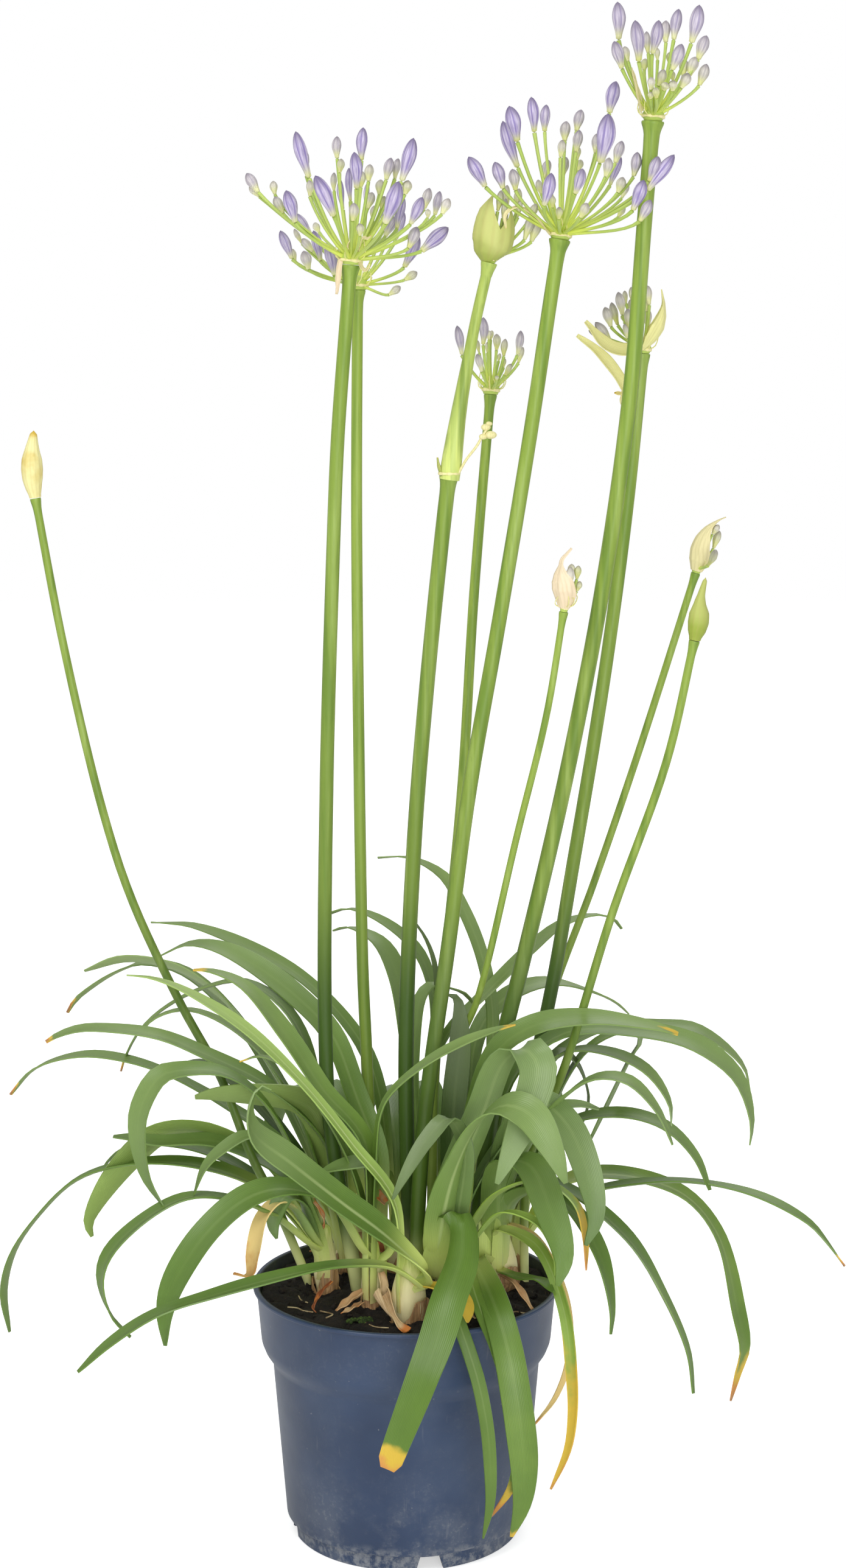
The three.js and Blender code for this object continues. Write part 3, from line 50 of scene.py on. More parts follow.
# Each shoot: its piece, its crown's place, radius and neck, and its leaves as width, how far the upper face
# turns to the front at even steps, look, and midrib above the crown.
SHOOTS = [
    ("shoot_left", (-50, -4), 8, 0.75, [
        (16, (0, 20, 20), "fresh", [(-66, -19, 237), (-87, -29, 283), (-110, -36, 302), (-135, -42, 305),
            (-147, -45, 302), (-158, -49, 284), (-160, -51, 269), (-155, -56, 243), (-144, -60, 225)]),
        (19, (10, 15, 5), "fresh", [(-67, 3, 218), (-86, 9, 234), (-117, 18, 243), (-155, 25, 241),
            (-173, 28, 243), (-184, 30, 243)]),
        (21, (5, -45, -45), "lime", [(-79, 16, 218), (-102, 24, 239), (-131, 32, 246), (-157, 39, 240),
            (-180, 40, 219), (-198, 40, 193), (-202, 40, 182), (-200, 40, 174)]),
        (13, (10, 0, 0), "fresh", [(-91, 32, 212), (-121, 43, 227), (-146, 51, 231), (-178, 56, 228),
            (-190, 58, 219), (-196, 60, 211)]),
        (15, (10, 3, 3), "fresh", [(-75, 11, 204), (-102, 16, 220), (-140, 25, 227), (-180, 37, 222),
            (-210, 46, 209), (-233, 53, 186), (-252, 58, 158), (-260, 62, 130), (-258, 66, 101)]),
        (12, (-5, 0, 5), "fresh", [(-65, -36, 235), (-79, -44, 260), (-94, -49, 267), (-110, -52, 259),
            (-120, -53, 249), (-127, -55, 232)]),
        (15, (-5, 0, -15), "fresh", [(-62, -20, 191), (-80, -33, 211), (-105, -49, 227), (-131, -58, 231),
            (-154, -65, 221), (-176, -71, 201), (-181, -72, 186), (-176, -74, 165), (-164, -75, 150)]),
        (11, (0, 0, 0), "straw", [(-58, -22, 195), (-69, -31, 216), (-78, -35, 221), (-87, -41, 213),
            (-92, -51, 193), (-94, -56, 182), (-103, -60, 185)]),
        (12, (0, 20, 22), "grey", [(-57, -16, 193), (-64, -28, 219), (-73, -34, 224), (-78, -37, 217),
            (-80, -40, 208), (-78, -42, 200)]),
    ]),
    ("shoot_left_back", (-38, 26), 8, 0.75, [
        (18, (0, -30, -38), "painted sheen", [(-66, 65, 239), (-94, 89, 281), (-118, 107, 310), (-143, 116, 327),
            (-163, 122, 333), (-188, 128, 334), (-213, 135, 325)]),
        (13, (0, 0, 0), "brown tip", [(-78, 91, 248), (-115, 118, 300), (-148, 133, 325), (-175, 138, 329),
            (-193, 142, 322), (-210, 146, 311), (-221, 148, 302), (-227, 150, 293)]),
        (15, (0, 0, 0), "brown tip", [(-64, 36, 303), (-81, 40, 328), (-104, 44, 339), (-121, 47, 336),
            (-145, 51, 325), (-167, 55, 307), (-179, 59, 286), (-182, 60, 277)]),
        (15, (0, 0, 0), "fresh", [(-74, 12, 278), (-99, 15, 310), (-127, 17, 326), (-142, 18, 327),
            (-157, 19, 321), (-166, 20, 311)]),
        (14, (-10, 20, 20), "brown tip", [(-48, 3, 242), (-81, -8, 284), (-121, -13, 307),
            (-150, -16, 320), (-183, -18, 325), (-198, -19, 325), (-211, -19, 321), (-218, -20, 317)]),
        (15, (0, 0, -2), "brown tip", [(-76, 30, 234), (-114, 37, 261), (-153, 46, 280), (-180, 52, 287),
            (-204, 58, 288), (-228, 63, 282), (-240, 66, 275), (-254, 70, 259)]),
        (13, (10, 2, 2), "dark", [(-69, 62, 220), (-93, 72, 249), (-115, 79, 268), (-135, 85, 277),
            (-155, 90, 271)]),
        (22, (0, -50, -58), "lime", [(-46, 15, 215), (-52, 3, 257), (-62, -3, 273), (-92, -15, 282),
            (-119, -20, 284), (-128, -22, 283)]),
    ]),
    ("shoot_front_left", (-20, -34), 8, 0.8, [
        (16, (5, 20, 22), "fresh", [(-18, 1, 238), (-31, 13, 274), (-46, 30, 308), (-68, 43, 329),
            (-99, 57, 349), (-121, 66, 357), (-139, 73, 357), (-157, 80, 348)]),
        (17, (5, 12, 12), "yellow tip", [(-24, -37, 258), (-50, -33, 291), (-72, -23, 322),
            (-98, -15, 351), (-119, -10, 359), (-129, -8, 359)]),
        (21, (5, 15, 20), "fresh", [(-28, -44, 195), (-46, -58, 228), (-71, -69, 240), (-92, -79, 238),
            (-116, -93, 221), (-135, -102, 193), (-140, -106, 176), (-140, -110, 158)]),
        (12, (10, 5, 5), "yellow tip", [(-28, -32, 225), (-47, -30, 271), (-68, -30, 301), (-87, -31, 311),
            (-100, -32, 308)]),
        (12, (20, 20, 15), "yellow tip", [(-18, -41, 244), (-15, -46, 279), (-9, -47, 292), (12, -51, 312),
            (34, -55, 326), (55, -58, 335), (65, -60, 338)]),
        (17, (0, 5, 10), "fresh", [(-10, -35, 192), (-10, -35, 230), (-21, -36, 245), (-39, -39, 245),
            (-54, -42, 241)]),
    ]),
    ("shoot_front", (2, -54), 11.5, 0.8, [
        (8.5, (15, 25, 20), "bright", [(-6, -61, 229), (-31, -62, 265), (-60, -55, 300), (-96, -46, 333),
            (-133, -37, 354), (-152, -33, 360), (-167, -30, 361)]),
        (23, (30, 55, 50), "pale rib", [(12, -65, 185), (-9, -81, 213), (-37, -98, 241), (-65, -113, 269),
            (-87, -119, 290), (-88, -122, 307), (-82, -124, 317), (-76, -125, 315)]),
        (15, (0, 0, 0), "fresh", [(9, -64, 177), (-9, -75, 193), (-41, -92, 200), (-76, -107, 198),
            (-111, -119, 192), (-145, -128, 183), (-171, -132, 167), (-188, -135, 152)]),
        (11, (5, 5), "gold", [(9, -62, 178), (21, -71, 180), (32, -81, 179), (36, -87, 174),
            (37, -95, 167)]),
    ]),
    ("shoots_right", (26, -28), 9, 0.8, [
        (15, (10, 10, 10), "dark", [(29, -21, 214), (29, -19, 271), (33, -14, 320), (31, -11, 342),
            (26, -10, 344)]),
        (20, (20, 20, 20), "yellow tip", [(38, -34, 226), (42, -37, 280), (56, -38, 317), (78, -39, 332),
            (111, -33, 335), (141, -26, 330), (156, -22, 326), (165, -20, 322)]),
        (14, (10, 10, 10), "grey", [(38, -30, 217), (60, -30, 259), (86, -30, 278), (106, -30, 281),
            (117, -30, 278)]),
        (23, (0, 10, 10), "grey", [(18, -41, 194), (27, -51, 232), (45, -67, 285), (58, -80, 322),
            (69, -86, 330), (77, -91, 321), (72, -96, 299), (63, -104, 278), (53, -110, 256)]),
        (23, (-25, 20, 35), "pale rib", [(20, -49, 193), (28, -79, 252), (44, -98, 291), (58, -107, 302),
            (72, -112, 298), (84, -118, 280), (92, -125, 261)]),
        (12, (0, -10, -10), "yellowing", [(38, -41, 202), (56, -52, 232), (81, -57, 241), (101, -62, 229),
            (107, -66, 210), (108, -70, 190)]),
        (5, (0, 0), "lime", [(40, -51, 201), (59, -69, 226), (79, -76, 221), (88, -81, 204),
            (89, -85, 192)]),
        (11, (0, 5, 10), "blue", [(32, -60, 223), (35, -83, 271), (25, -92, 290), (12, -97, 278),
            (0, -102, 259), (-7, -105, 245)]),
        (24, (0, 0, 0), "blunt yellow tip", [(18, -41, 175), (20, -53, 198), (29, -68, 226),
            (33, -74, 220), (33, -90, 207), (25, -112, 189), (18, -126, 168), (9, -139, 147),
            (-5, -144, 111), (-10, -145, 97)]),
        (8, (5, 5, 5), "fresh", [(29, -42, 183), (30, -66, 176), (31, -90, 168), (37, -99, 152),
            (43, -103, 133), (48, -106, 108), (50, -107, 86), (50, -108, 60), (46, -108, 38)]),
    ]),
    ("shoots_right", (57, 2), 13, 0.5, [
        (19, (20, 15, 20), "fresh", [(54, 9, 236), (69, 9, 291), (98, 5, 316), (143, 1, 318),
            (176, -5, 312), (202, -11, 293), (211, -17, 267), (210, -20, 252)]),
        (15, (10, 2, 2), "fresh", [(58, 8, 229), (74, 6, 276), (98, -1, 305), (124, -8, 307),
            (147, -17, 298), (160, -25, 280), (161, -30, 267)]),
        (15, (10, 2, 2), "fresh", [(61, -19, 214), (75, -37, 258), (94, -47, 289), (114, -51, 303),
            (133, -55, 302), (150, -59, 285), (159, -62, 265)]),
        (20, (-10, 10, 20), "grey", [(58, -19, 225), (64, -36, 269), (78, -45, 288), (94, -54, 278),
            (104, -62, 261), (113, -71, 223), (107, -75, 207)]),
        (21, (-5, 5, 10), "fresh", [(60, -46, 249), (74, -58, 251), (85, -81, 232), (93, -94, 205),
            (89, -100, 191)]),
        (20, (0, -8, -15), "fresh", [(54, -10, 217), (76, -16, 229), (102.5, -23, 222), (135.5, -34, 197),
            (155.5, -44, 166), (170.5, -53, 133), (174, -60, 109)]),
        (19, (-10, -15, -20), "fresh", [(64, -22, 217), (82.5, -32, 227), (99.5, -41, 219),
            (116.5, -56, 195), (123.5, -66, 164), (123, -70, 150)]),
        (7.5, (20, 40, 50, 50), "patchy", [(57, -23, 200), (79, -44, 197), (94, -75, 168), (98, -99, 135),
            (98, -110, 117), (95, -115, 97), (85, -120, 74)]),
        (4, (0, 0), "dead", [(59, -10, 199), (79, -21, 195), (96, -39, 166), (99, -57, 133),
            (91, -69, 112), (77, -80, 98)]),
        (8, (5, 5), "fresh", [(60, -21, 172), (71, -40, 175), (82, -56, 179), (88, -70, 177)]),
        (18, (5, 5, 5), "yellow tip", [(42, -34, 184), (48, -56, 177), (55, -80, 166), (61, -94, 147),
            (65, -101, 125), (68, -105, 104), (70, -107, 82), (69, -108, 60), (63, -108, 39)]),
        (8, (5, 5, 5), "half yellow", [(39, -44, 181), (40, -60, 178), (45, -79, 168), (53, -89, 152),
            (58, -92, 137), (65, -98, 109), (67, -100, 88), (63, -101, 67), (51, -102, 49)]),
    ]),
    ("shoot_right_side", (68, 30), 8, 0.7, [
        (15, (10, 5, 18), "fresh", [(74, 36, 228), (89, 43, 285), (124, 47, 308), (164, 50, 309),
            (185, 50, 306), (213, 50, 283), (219, 50, 260)]),
        (16, (15, 5, 5), "fresh", [(83, 28, 230), (100, 30, 279), (117, 30, 302), (138, 30, 311),
            (146, 29, 307), (138, 27, 292), (126, 24, 267), (114, 20, 241)]),
        (14, (10, 10, 5), "fresh", [(77, 20, 213), (92, 14, 250), (114, 6, 263), (140, -2, 266),
            (161, -11, 260), (177, -21, 245), (185, -30, 227)]),
        (13, (10, 2, 2), "dark", [(72, 30, 206), (75, 30, 246), (85, 29, 281), (96, 29, 298),
            (106, 29, 291), (114, 28, 270), (110, 28, 248)]),
        (17, (15, 12, 25, 50), "half yellow", [(75, 33, 181), (90, 41, 202), (113, 49, 211),
            (148, 55, 208), (180, 59, 194), (200, 56, 169), (212, 48, 123), (216, 40, 99), (212, 36, 85),
            (207, 30, 68)]),
        (15, (0, -5, -12), "brown tip", [(74, 23, 178), (89, 16, 198), (114, 6, 214), (147, -6, 224),
            (180, -19, 228), (215, -34, 224), (243, -48, 212), (253, -54, 202), (263, -62, 190)]),
        (17, (0, 0, 0), "fresh", [(72, 60, 215), (80, 95, 240), (88, 125, 225), (92, 145, 190),
            (92, 150, 150)]),
    ]),
    ("shoot_centre_back", (-4, 28), 9, 0.8, [
        (11, (5, 20, 12), "fresh", [(-11, 42, 206), (-17, 59, 261), (-30, 75, 293), (-66, 97, 328),
            (-106, 108, 349), (-140, 115, 360), (-154, 117, 361), (-167, 120, 361)]),
        (10, (-25, -15, 0), "fresh", [(12, 53, 223), (18, 71, 298), (16, 79, 328), (7, 84, 350),
            (-15, 91, 368), (-37, 96, 375), (-53, 100, 370)]),
        (17, (-43, -30, 0), "fresh", [(1, 71, 217), (0, 102, 290), (-6, 117, 325), (-18, 127, 346),
            (-38, 136, 354), (-49, 140, 351)]),
        (4, (0, 0, 0), "dark", [(12, 38, 227), (19, 49, 303), (18, 53, 346), (12, 54, 365), (5, 55, 376)]),
        (15, (-15, -5, 5), "light", [(5, 42, 210), (12, 57, 262), (26, 67, 299), (51, 76, 324),
            (79, 85, 350), (100, 91, 366), (124, 96, 371), (134, 99, 367), (139, 100, 361)]),
        (11, (10, 2, 2), "fresh", [(7, 31, 229), (5, 41, 286), (9, 51, 327), (16, 53, 335), (28, 56, 332),
            (37, 58, 328), (43, 60, 321)]),
        (17, (0, 0, 0), "fresh", [(-8, 60, 234), (-12, 92, 248), (-18, 120, 250), (-26, 140, 236),
            (-32, 150, 206)]),
    ]),
    ("shoot_back_right", (30, 56), 8, 0.8, [
        (9, (15, 17, 8), "light", [(51.5, 66, 239), (55.5, 84, 303), (54.5, 88, 317), (47.5, 98, 347),
            (36.5, 106, 373), (24, 113, 393), (1, 120, 404), (-19, 125, 403)]),
        (15, (0, 12, 12), "light", [(40, 76, 236), (46, 97, 291), (64, 108, 313), (92, 122, 320),
            (127, 139, 308), (140, 145, 300), (148, 150, 292)]),
        (20, (0, 0, 0), "fresh", [(34, 84, 218), (44, 112, 246), (58, 134, 236), (68, 146, 195),
            (71, 150, 148)]),
        (18, (0, 0, 0), "fresh", [(22, 88, 228), (11, 118, 254), (0, 138, 240), (-8, 148, 200),
            (-10, 150, 160)]),
        (17, (0, 0, 0), "fresh", [(45, 80, 230), (62, 105, 260), (80, 128, 266), (96, 145, 246),
            (105, 152, 215)]),
    ]),
    ("shoot_back_left", (-30, 60), 8, 0.8, [
        (18, (0, 0, 0), "fresh", [(-38, 80, 215), (-46, 105, 246), (-56, 130, 250), (-64, 148, 222),
            (-68, 155, 185)]),
        (19, (0, 0, 0), "fresh", [(-31, 86, 205), (-35, 118, 222), (-42, 143, 200), (-48, 154, 150),
            (-50, 154, 108)]),
        (18, (0, 0, 0), "fresh", [(-46, 78, 215), (-60, 100, 245), (-76, 122, 250), (-88, 138, 225),
            (-92, 146, 190)]),
    ]),
]

# Each flower stem: radius at the foot and under the collar, the collar's radius, and its route
SCAPES = {
    "scape_far_left": (2.9, 2.4, 3.4, [(-55, 8, 140), (-80, -7, 210), (-95, -4, 240), (-115, 7, 289),
        (-138, 5, 334), (-167, 0, 402), (-184, 3, 457), (-206, 7, 557), (-221, 10, 643)]),
    "scape_front_left": (4.6, 4, 6, [(-27, -6, 140), (-46, -11, 260), (-49, -12, 327), (-47, -20, 475),
        (-42, -29, 616), (-39, -32, 680), (-34, -34, 743), (-31, -35, 779)]),
    "scape_left_back": (3.9, 3.3, 5, [(-20, 8, 140), (-23, 31, 240), (-25, 33, 300), (-27, 34, 349),
        (-29, 37, 490), (-30, 46, 639), (-29, 50, 766)]),
    "scape_centre_back": (3.4, 3, 4.2, [(16, 20, 140), (18, 30, 289), (26, 39, 368), (35, 49, 464),
        (42, 61, 580), (52, 70, 703)]),
    "scape_middle": (4.8, 4.2, 6.6, [(4, -28, 140), (11, -27, 266), (26, -24, 379), (38, -20, 470),
        (55, -17, 569), (73, -13, 679), (85, -11, 761), (90, -10, 794)]),
    "scape_right": (5, 4.4, 6.8, [(36, -8, 140), (60, -12, 319), (69, -13, 357), (95, -18, 475),
        (117, -22, 597), (131, -25, 707), (138, -25, 805), (142, -25, 860)]),
    "scape_right_back": (4.5, 4, 5, [(40, 32, 140), (85, 37, 307), (105, 41, 422), (123, 47, 536),
        (136, 52, 640), (144, 55, 728)]),
    "scape_splitting_front": (2.3, 2, 2.8, [(30, 4, 140), (30, -2, 301), (44, -16, 344), (66, -33, 445),
        (83, -44, 521), (92, -50, 581)]),
    "scape_splitting_back": (2.5, 2.3, 3, [(48, 46, 140), (89, 56, 317), (118, 60, 399), (145, 60, 482),
        (179, 60, 594)]),
    "scape_far_right": (2.8, 2.5, 3.4, [(74, 14, 140), (76, 6, 234), (97, -17, 302), (124, -23, 397),
        (155, -29, 491), (170, -30, 562)]),
    "scape_two_tier": (4.8, 4.5, 6, [(4, 0, 140), (0, 0, 299), (5, 0, 433), (13, -2, 534), (22, -4, 623),
        (26, -5, 658)]),
}
UPPER_TIER = (3.4, 3.2, 5, [(26, -5, 655), (32, -6, 697), (41, -8, 746), (49, -10, 781)])

# Each umbel: its stem, its receptacle's radius, how ripe its buds are (0 green to 1 violet), and its buds as
# pedicel end x, y, z, bud tip x, y, z and bud radius from the middle of the receptacle
UMBELS = {
    "umbel_front_left": ("scape_front_left", 6.4, 1, [
        (-24, 13, 46, -32, 17, 73, 3.8), (-8, 12, 57, -8, 13, 70, 2.7), (6, 12, 56, 7, 14, 75, 3.3),
        (29, -13, 43, 36, -17, 67, 4), (4, -31, 38, 3, -38, 58, 3.5), (-6, -10, 48, -5, -11, 56, 2.2),
        (10, 7, 44, 11, 8, 54, 2.8), (6, -8, 40, 7, -10, 49, 2.1), (20, 12, 45, 23, 14, 58, 2.9),
        (25, 17, 46, 27, 20, 58, 2.4), (-8, -51, 22, -18, -60, 44, 4.3), (-23, -10, 35, -23, -12, 44, 2.3),
        (20, -50, 18, 28, -58, 41, 4.5), (31, -10, 36, 33, -11, 44, 2.8), (-31, -16, 20, -36, -20, 38, 3.8),
        (-39, 10, 26, -44, 11, 36, 2.8), (-44, 14, 37, -45, 15, 45, 2.3), (-53, 8, 38, -60, 9, 49, 3.1),
        (42, 13, 29, 45, 14, 41, 2.8), (48, 9, 25, 51, 10, 39, 2.6), (52, -10, 25, 56, -10, 34, 2.8),
        (34, -20, 19, 41, -25, 34, 3.3), (44, -10, 23, 44, -11, 28, 1.7), (40, 16, 5, 56, 22, 19, 4.2),
        (33, -12, 6, 38, -15, 18, 3.3), (2, -40, 20, 3, -43, 30, 2.9), (6, -37, 12, 6, -39, 19, 2.3),
        (9, 20, 29, 12, 24, 39, 2.9), (-19, 28, 16, -22, 31, 22, 2.1), (-26, 20, 48, -26, 23, 62, 2.1),
        (-1, 35, 34, -2, 42, 54, 2.2), (16, 17, 37, 17, 19, 46, 2.6), (17, 23, 29, 19, 26, 37, 2.1),
        (26, 29, 18, 30, 36, 37, 2.9), (-10, 16, 39, -10, 19, 50, 1.9), (-10, 27, 27, -12, 30, 35, 2.1),
        (12, 33, 23, 13, 36, 32, 2.1), (18, 27, 17, 18, 28, 22, 1.2), (19, 38, 14, 25, 43, 26, 3.1),
        (-53, 16, 36, -59, 17, 42, 2)]),
    "umbel_left_back": ("scape_left_back", 6.4, 0.95, [
        (-39, -9, 15, -46, -11, 32, 3.1), (-29, -11, 9, -32, -14, 20, 3.3),
        (-13, -36, 5, -17, -44, 24, 3.5), (28, -11, 10, 37, -16, 29, 3.8), (-28, 10, 30, -38, 12, 43, 2.9),
        (-27, 11, 20, -34, 13, 28, 2.6), (-9, 17, 45, -11, 21, 64, 2.3), (15, 12, 34, 19, 16, 52, 2.8),
        (23, 12, 27, 28, 15, 44, 2.8), (28, 8, 3, 36, 9, 8, 2.6), (19, -13, -6, 26, -16, -1, 2.4),
        (-38, 12, 14, -40, 13, 22, 1.9), (-34, 16, 25, -39, 18, 34, 1.7), (-22, -9, 14, -26, -13, 32, 3.1),
        (-11, -20, 11, -13, -23, 18, 1.6), (16, -10, 22, 16, -12, 28, 2.1), (5, 17, 46, 6, 21, 62, 1.9)]),
    "umbel_middle": ("scape_middle", 6.4, 1, [
        (29, 22, 70, 33, 25, 89, 4), (20, -38, 38, 24, -48, 65, 5.4), (-26, -20, 51, -31, -24, 71, 4.3),
        (-24, 26, 39, -33, 35, 67, 3.8), (-16, -10, 57, -18, -12, 77, 3.5), (-9, 15, 59, -8, 17, 75, 3.1),
        (3, 20, 54, 4, 23, 66, 3.1), (10, 25, 60, 13, 28, 73, 3.1), (9, 8, 47, 11, 9, 60, 2.9),
        (-1, -11, 43, 0, -12, 53, 2.4), (2, 25, 34, 4, 29, 46, 3.3), (-9, 22, 32, -6, 26, 44, 2.9),
        (-12, -49, 14, -8, -56, 32, 3.6), (6, -39, 21, 10, -45, 35, 3.3), (11, 22, 37, 13, 25, 44, 2.3),
        (32, 11, 41, 36, 12, 54, 3.1), (25, -11, 32, 27, -13, 43, 2.8), (30, 26, 29, 37, 32, 46, 2.6),
        (41, -13, 32, 43, -15, 46, 3.1), (32, -13, 23, 35, -14, 32, 2.8), (36, 12, 21, 40, 14, 30, 2.1),
        (48, -36, 28, 53, -40, 42, 3.5), (39, -36, 12, 45, -40, 29, 3.8), (47, -36, 23, 62, -40, 43, 3.6),
        (-44, -17, 26, -54, -21, 43, 3.8), (43, -36, 6, 49, -40, 18, 3.1),
        (-34, -19, 25, -39, -23, 40, 3.5), (-27, -20, 24, -29, -24, 36, 3.1),
        (-10, 30, 24, -12, 33, 33, 2.1), (9, -40, 8, 13, -43, 16, 2.8), (34, 11, 10, 38, 13, 17, 2.1),
        (10, 16, 43, 11, 18, 51, 2.1), (21, 21, 47, 22, 24, 59, 2.4), (-3, -40, 7, -3, -42, 14, 2.1),
        (-6, -25, 14, -6, -27, 21, 1.7)]),
    "umbel_right": ("scape_right", 6.4, 0.85, [
        (-21, -10, 41, -22, -12, 62, 3.8), (-11, -31, 27, -14, -39, 49, 4), (-3, -23, 32, 0, -30, 50, 3.5),
        (8, 16, 42, 8, 18, 55, 3), (12, 11, 43, 15, 14, 61, 3.3), (20, -11, 39, 24, -15, 60, 4),
        (26, 10, 32, 31, 12, 46, 3.5), (-19, -12, 25, -24, -16, 40, 3.5), (-14, 11, 31, -16, 13, 40, 2.5),
        (-2, 16, 36, -3, 19, 49, 2.3), (8, -26, 23, 13, -31, 37, 3.5), (21, 9, 23, 25, 11, 34, 3.3),
        (25, -9, 16, 29, -11, 28, 3.1), (14, -18, 14, 18, -21, 22, 3), (-4, -29, 12, -4, -31, 19, 2.3),
        (1, -19, 15, 4, -22, 24, 2.6), (3, -28, 12, 5, -30, 16, 2.6), (9, -20, 12, 9, -22, 18, 2.6),
        (10, 14, 30, 10, 16, 37, 1.6), (18, 13, 23, 19, 15, 33, 2.7), (-4, 20, 27, -3, 22, 34, 2.5),
        (3, 12, 32, 3, 13, 39, 1.6), (-4, -29, 7, -4, -30, 11, 1.9), (-1, -33, 7, -2, -35, 13, 2.2),
        (13, 22, 21, 13, 24, 27, 1.6)]),
    "umbel_centre_back": ("scape_centre_back", 5.4, 0.8, [
        (-18, -6, 21, -21, -8, 39, 2.7), (-5, -7, 27, -5, -9, 44, 2.9), (-1, 11, 30, -1, 13, 36, 1.7),
        (3, -11, 24, 3, -14, 34, 2.5), (8, 6, 20, 9, 8, 31, 2.2), (16, -5, 21, 18, -7, 36, 2.5),
        (17, 7, 16, 20, 9, 26, 1.9), (-6, -18, 11, -9, -22, 22, 2.4), (8, 12, 13, 9, 14, 19, 1.3),
        (8, -15, 9, 12, -18, 16, 1.9), (-7, 10, 22, -8, 12, 30, 1.4), (0, 14, 30, 1, 16, 36, 1.7),
        (-2, 10, 22, -2, 12, 29, 1.3), (5, 14, 17, 6, 16, 22, 1.3), (3, -20, 6, 3, -21, 9, 1.3)]),
    "umbel_right_back": ("scape_right_back", 5.1, 0.55, [
        (-13, -5, 20, -16, -7, 34, 2.9), (-10, 7, 27, -11, 8, 35, 1.7), (-7, -3, 27, -8, -4, 37, 1.9),
        (-15, 6, 14, -19, 8, 28, 2.5), (-20, -6, 13, -24, -8, 25, 2.9), (-20, -9, 4, -30, -13, 16, 2.9),
        (-22, -10, 6, -34, -13, 11, 2.1), (-10, -14, 12, -11, -19, 24, 2.7), (4, 5, 26, 3, 7, 38, 2.5),
        (-11, -16, 6, -13, -20, 15, 1.7), (-11, 7, 16, -12, 8, 21, 1.7), (-5, 9, 21, -7, 12, 30, 2.3),
        (3, 8, 22, 1, 10, 34, 2.3), (4, 12, 12, 4, 16, 24, 2.7)]),
    "umbel_two_tier": ("scape_two_tier", 4.2, 0.5, [
        (4, -4, 26, 6, -6, 38, 2.2), (10, 10, 28, 10, 13, 42, 2.3), (7, -5, 22, 9, -6, 32, 2.1),
        (16, 11, 28, 17, 13, 40, 2.4), (23, 8, 22, 27, 9, 31, 2.4), (20, 6, 10, 25, 8, 25, 2.8),
        (24, 8, 9, 29, 11, 22, 3.1), (9, 3, 17, 9, 5, 34, 2.2), (16, 7, 23, 18, 8, 33, 1.7)]),
    "umbel_splitting_front": ("scape_splitting_front", 2.6, 0.3, [
        (7, 0, 16, 8, 0, 24, 2.1), (7, 0, 9, 9, 0, 15, 2), (4, 0, 18, 4, 0, 25, 2.1),
        (3, 11, 5, 8, 21, 13, 2.3), (2, -4, 12, 3, -6, 24, 2.5)]),
    "umbel_splitting_back": ("scape_splitting_back", 3.2, 0.3, [
        (9, 0, 21, 13, 0, 27, 2.1), (10, 2, 12, 14, 4, 23, 2.4), (5, -15, 3, 8, -32, 14, 2.4),
        (6, 8, 12, 8, 11, 22, 2.3)]),
}

# Papery bracts: the piece that each grows from, width, turns about its heading at even steps, look and route
BRACTS = [
    ("umbel_right", 6, (60, 50), "cream case", [(135, -30, 865), (132, -33, 876), (129, -34, 889)]),
    ("umbel_front_left", 3.4, (70, 60), "pink case", [(-36.4, -38, 782.2), (-37.2, -38.6, 778.7),
        (-37.7, -39, 774.1), (-38.3, -39, 768.6), (-38.9, -38.6, 762.4)]),
    ("umbel_front_left", 1.9, (75, 75), "cream case", [(-26.4, -37.5, 782.4), (-25.3, -39, 779.4),
        (-23.9, -40, 776.8), (-22.6, -40, 776), (-21.2, -40, 777), (-20.1, -39.5, 779.8)]),
    ("umbel_front_left", 1.5, (60, 50), "cream case", [(-32.2, -40, 784.6), (-32.4, -43, 789.5),
        (-30.8, -43.5, 792.9), (-28.6, -43, 793.8)]),
    ("umbel_front_left", 2.2, (60, 50), "cream case", [(-26.5, -41, 786), (-25.4, -43, 791.3),
        (-23.5, -44, 794.3), (-21.4, -44, 793.7), (-19, -44, 795.4)]),
    ("umbel_middle", 3.5, (30, 40), "cream case", [(84, -14, 797), (74, -20, 808), (64, -22, 812),
        (58, -22, 808), (58, -22, 800)]),
    ("umbel_right_back", 11, (72, 66, 60), "lemon case", [(139, 46, 732), (131, 42, 730), (121, 40, 733),
        (108.3, 40, 747.4)]),
    ("scape_right_back", 9, (75, 70, 65), "lemon case", [(135, 42, 703), (127, 38, 716), (115, 38, 730),
        (103.2, 38, 739.1)]),
    ("scape_right_back", 5, (30, 40), "dry case", [(135, 40, 706), (131, 38, 704), (126, 37, 705)]),
    ("scape_right_back", 4, (60, 60), "dry case", [(134, 40, 706), (131, 38, 701), (131, 38, 697)]),
]

# Rims, as how high they stand at places across: 1 is the route's end
EVEN_RIM = ((-1, 1), (1, 1))
TORN_RIM = ((-1, 0.62), (-0.69, 1), (-0.40, 0.47), (-0.10, 0.84), (0.07, 0.42), (0.30, 0.30), (0.62, 0.80),
    (1, 0.62))

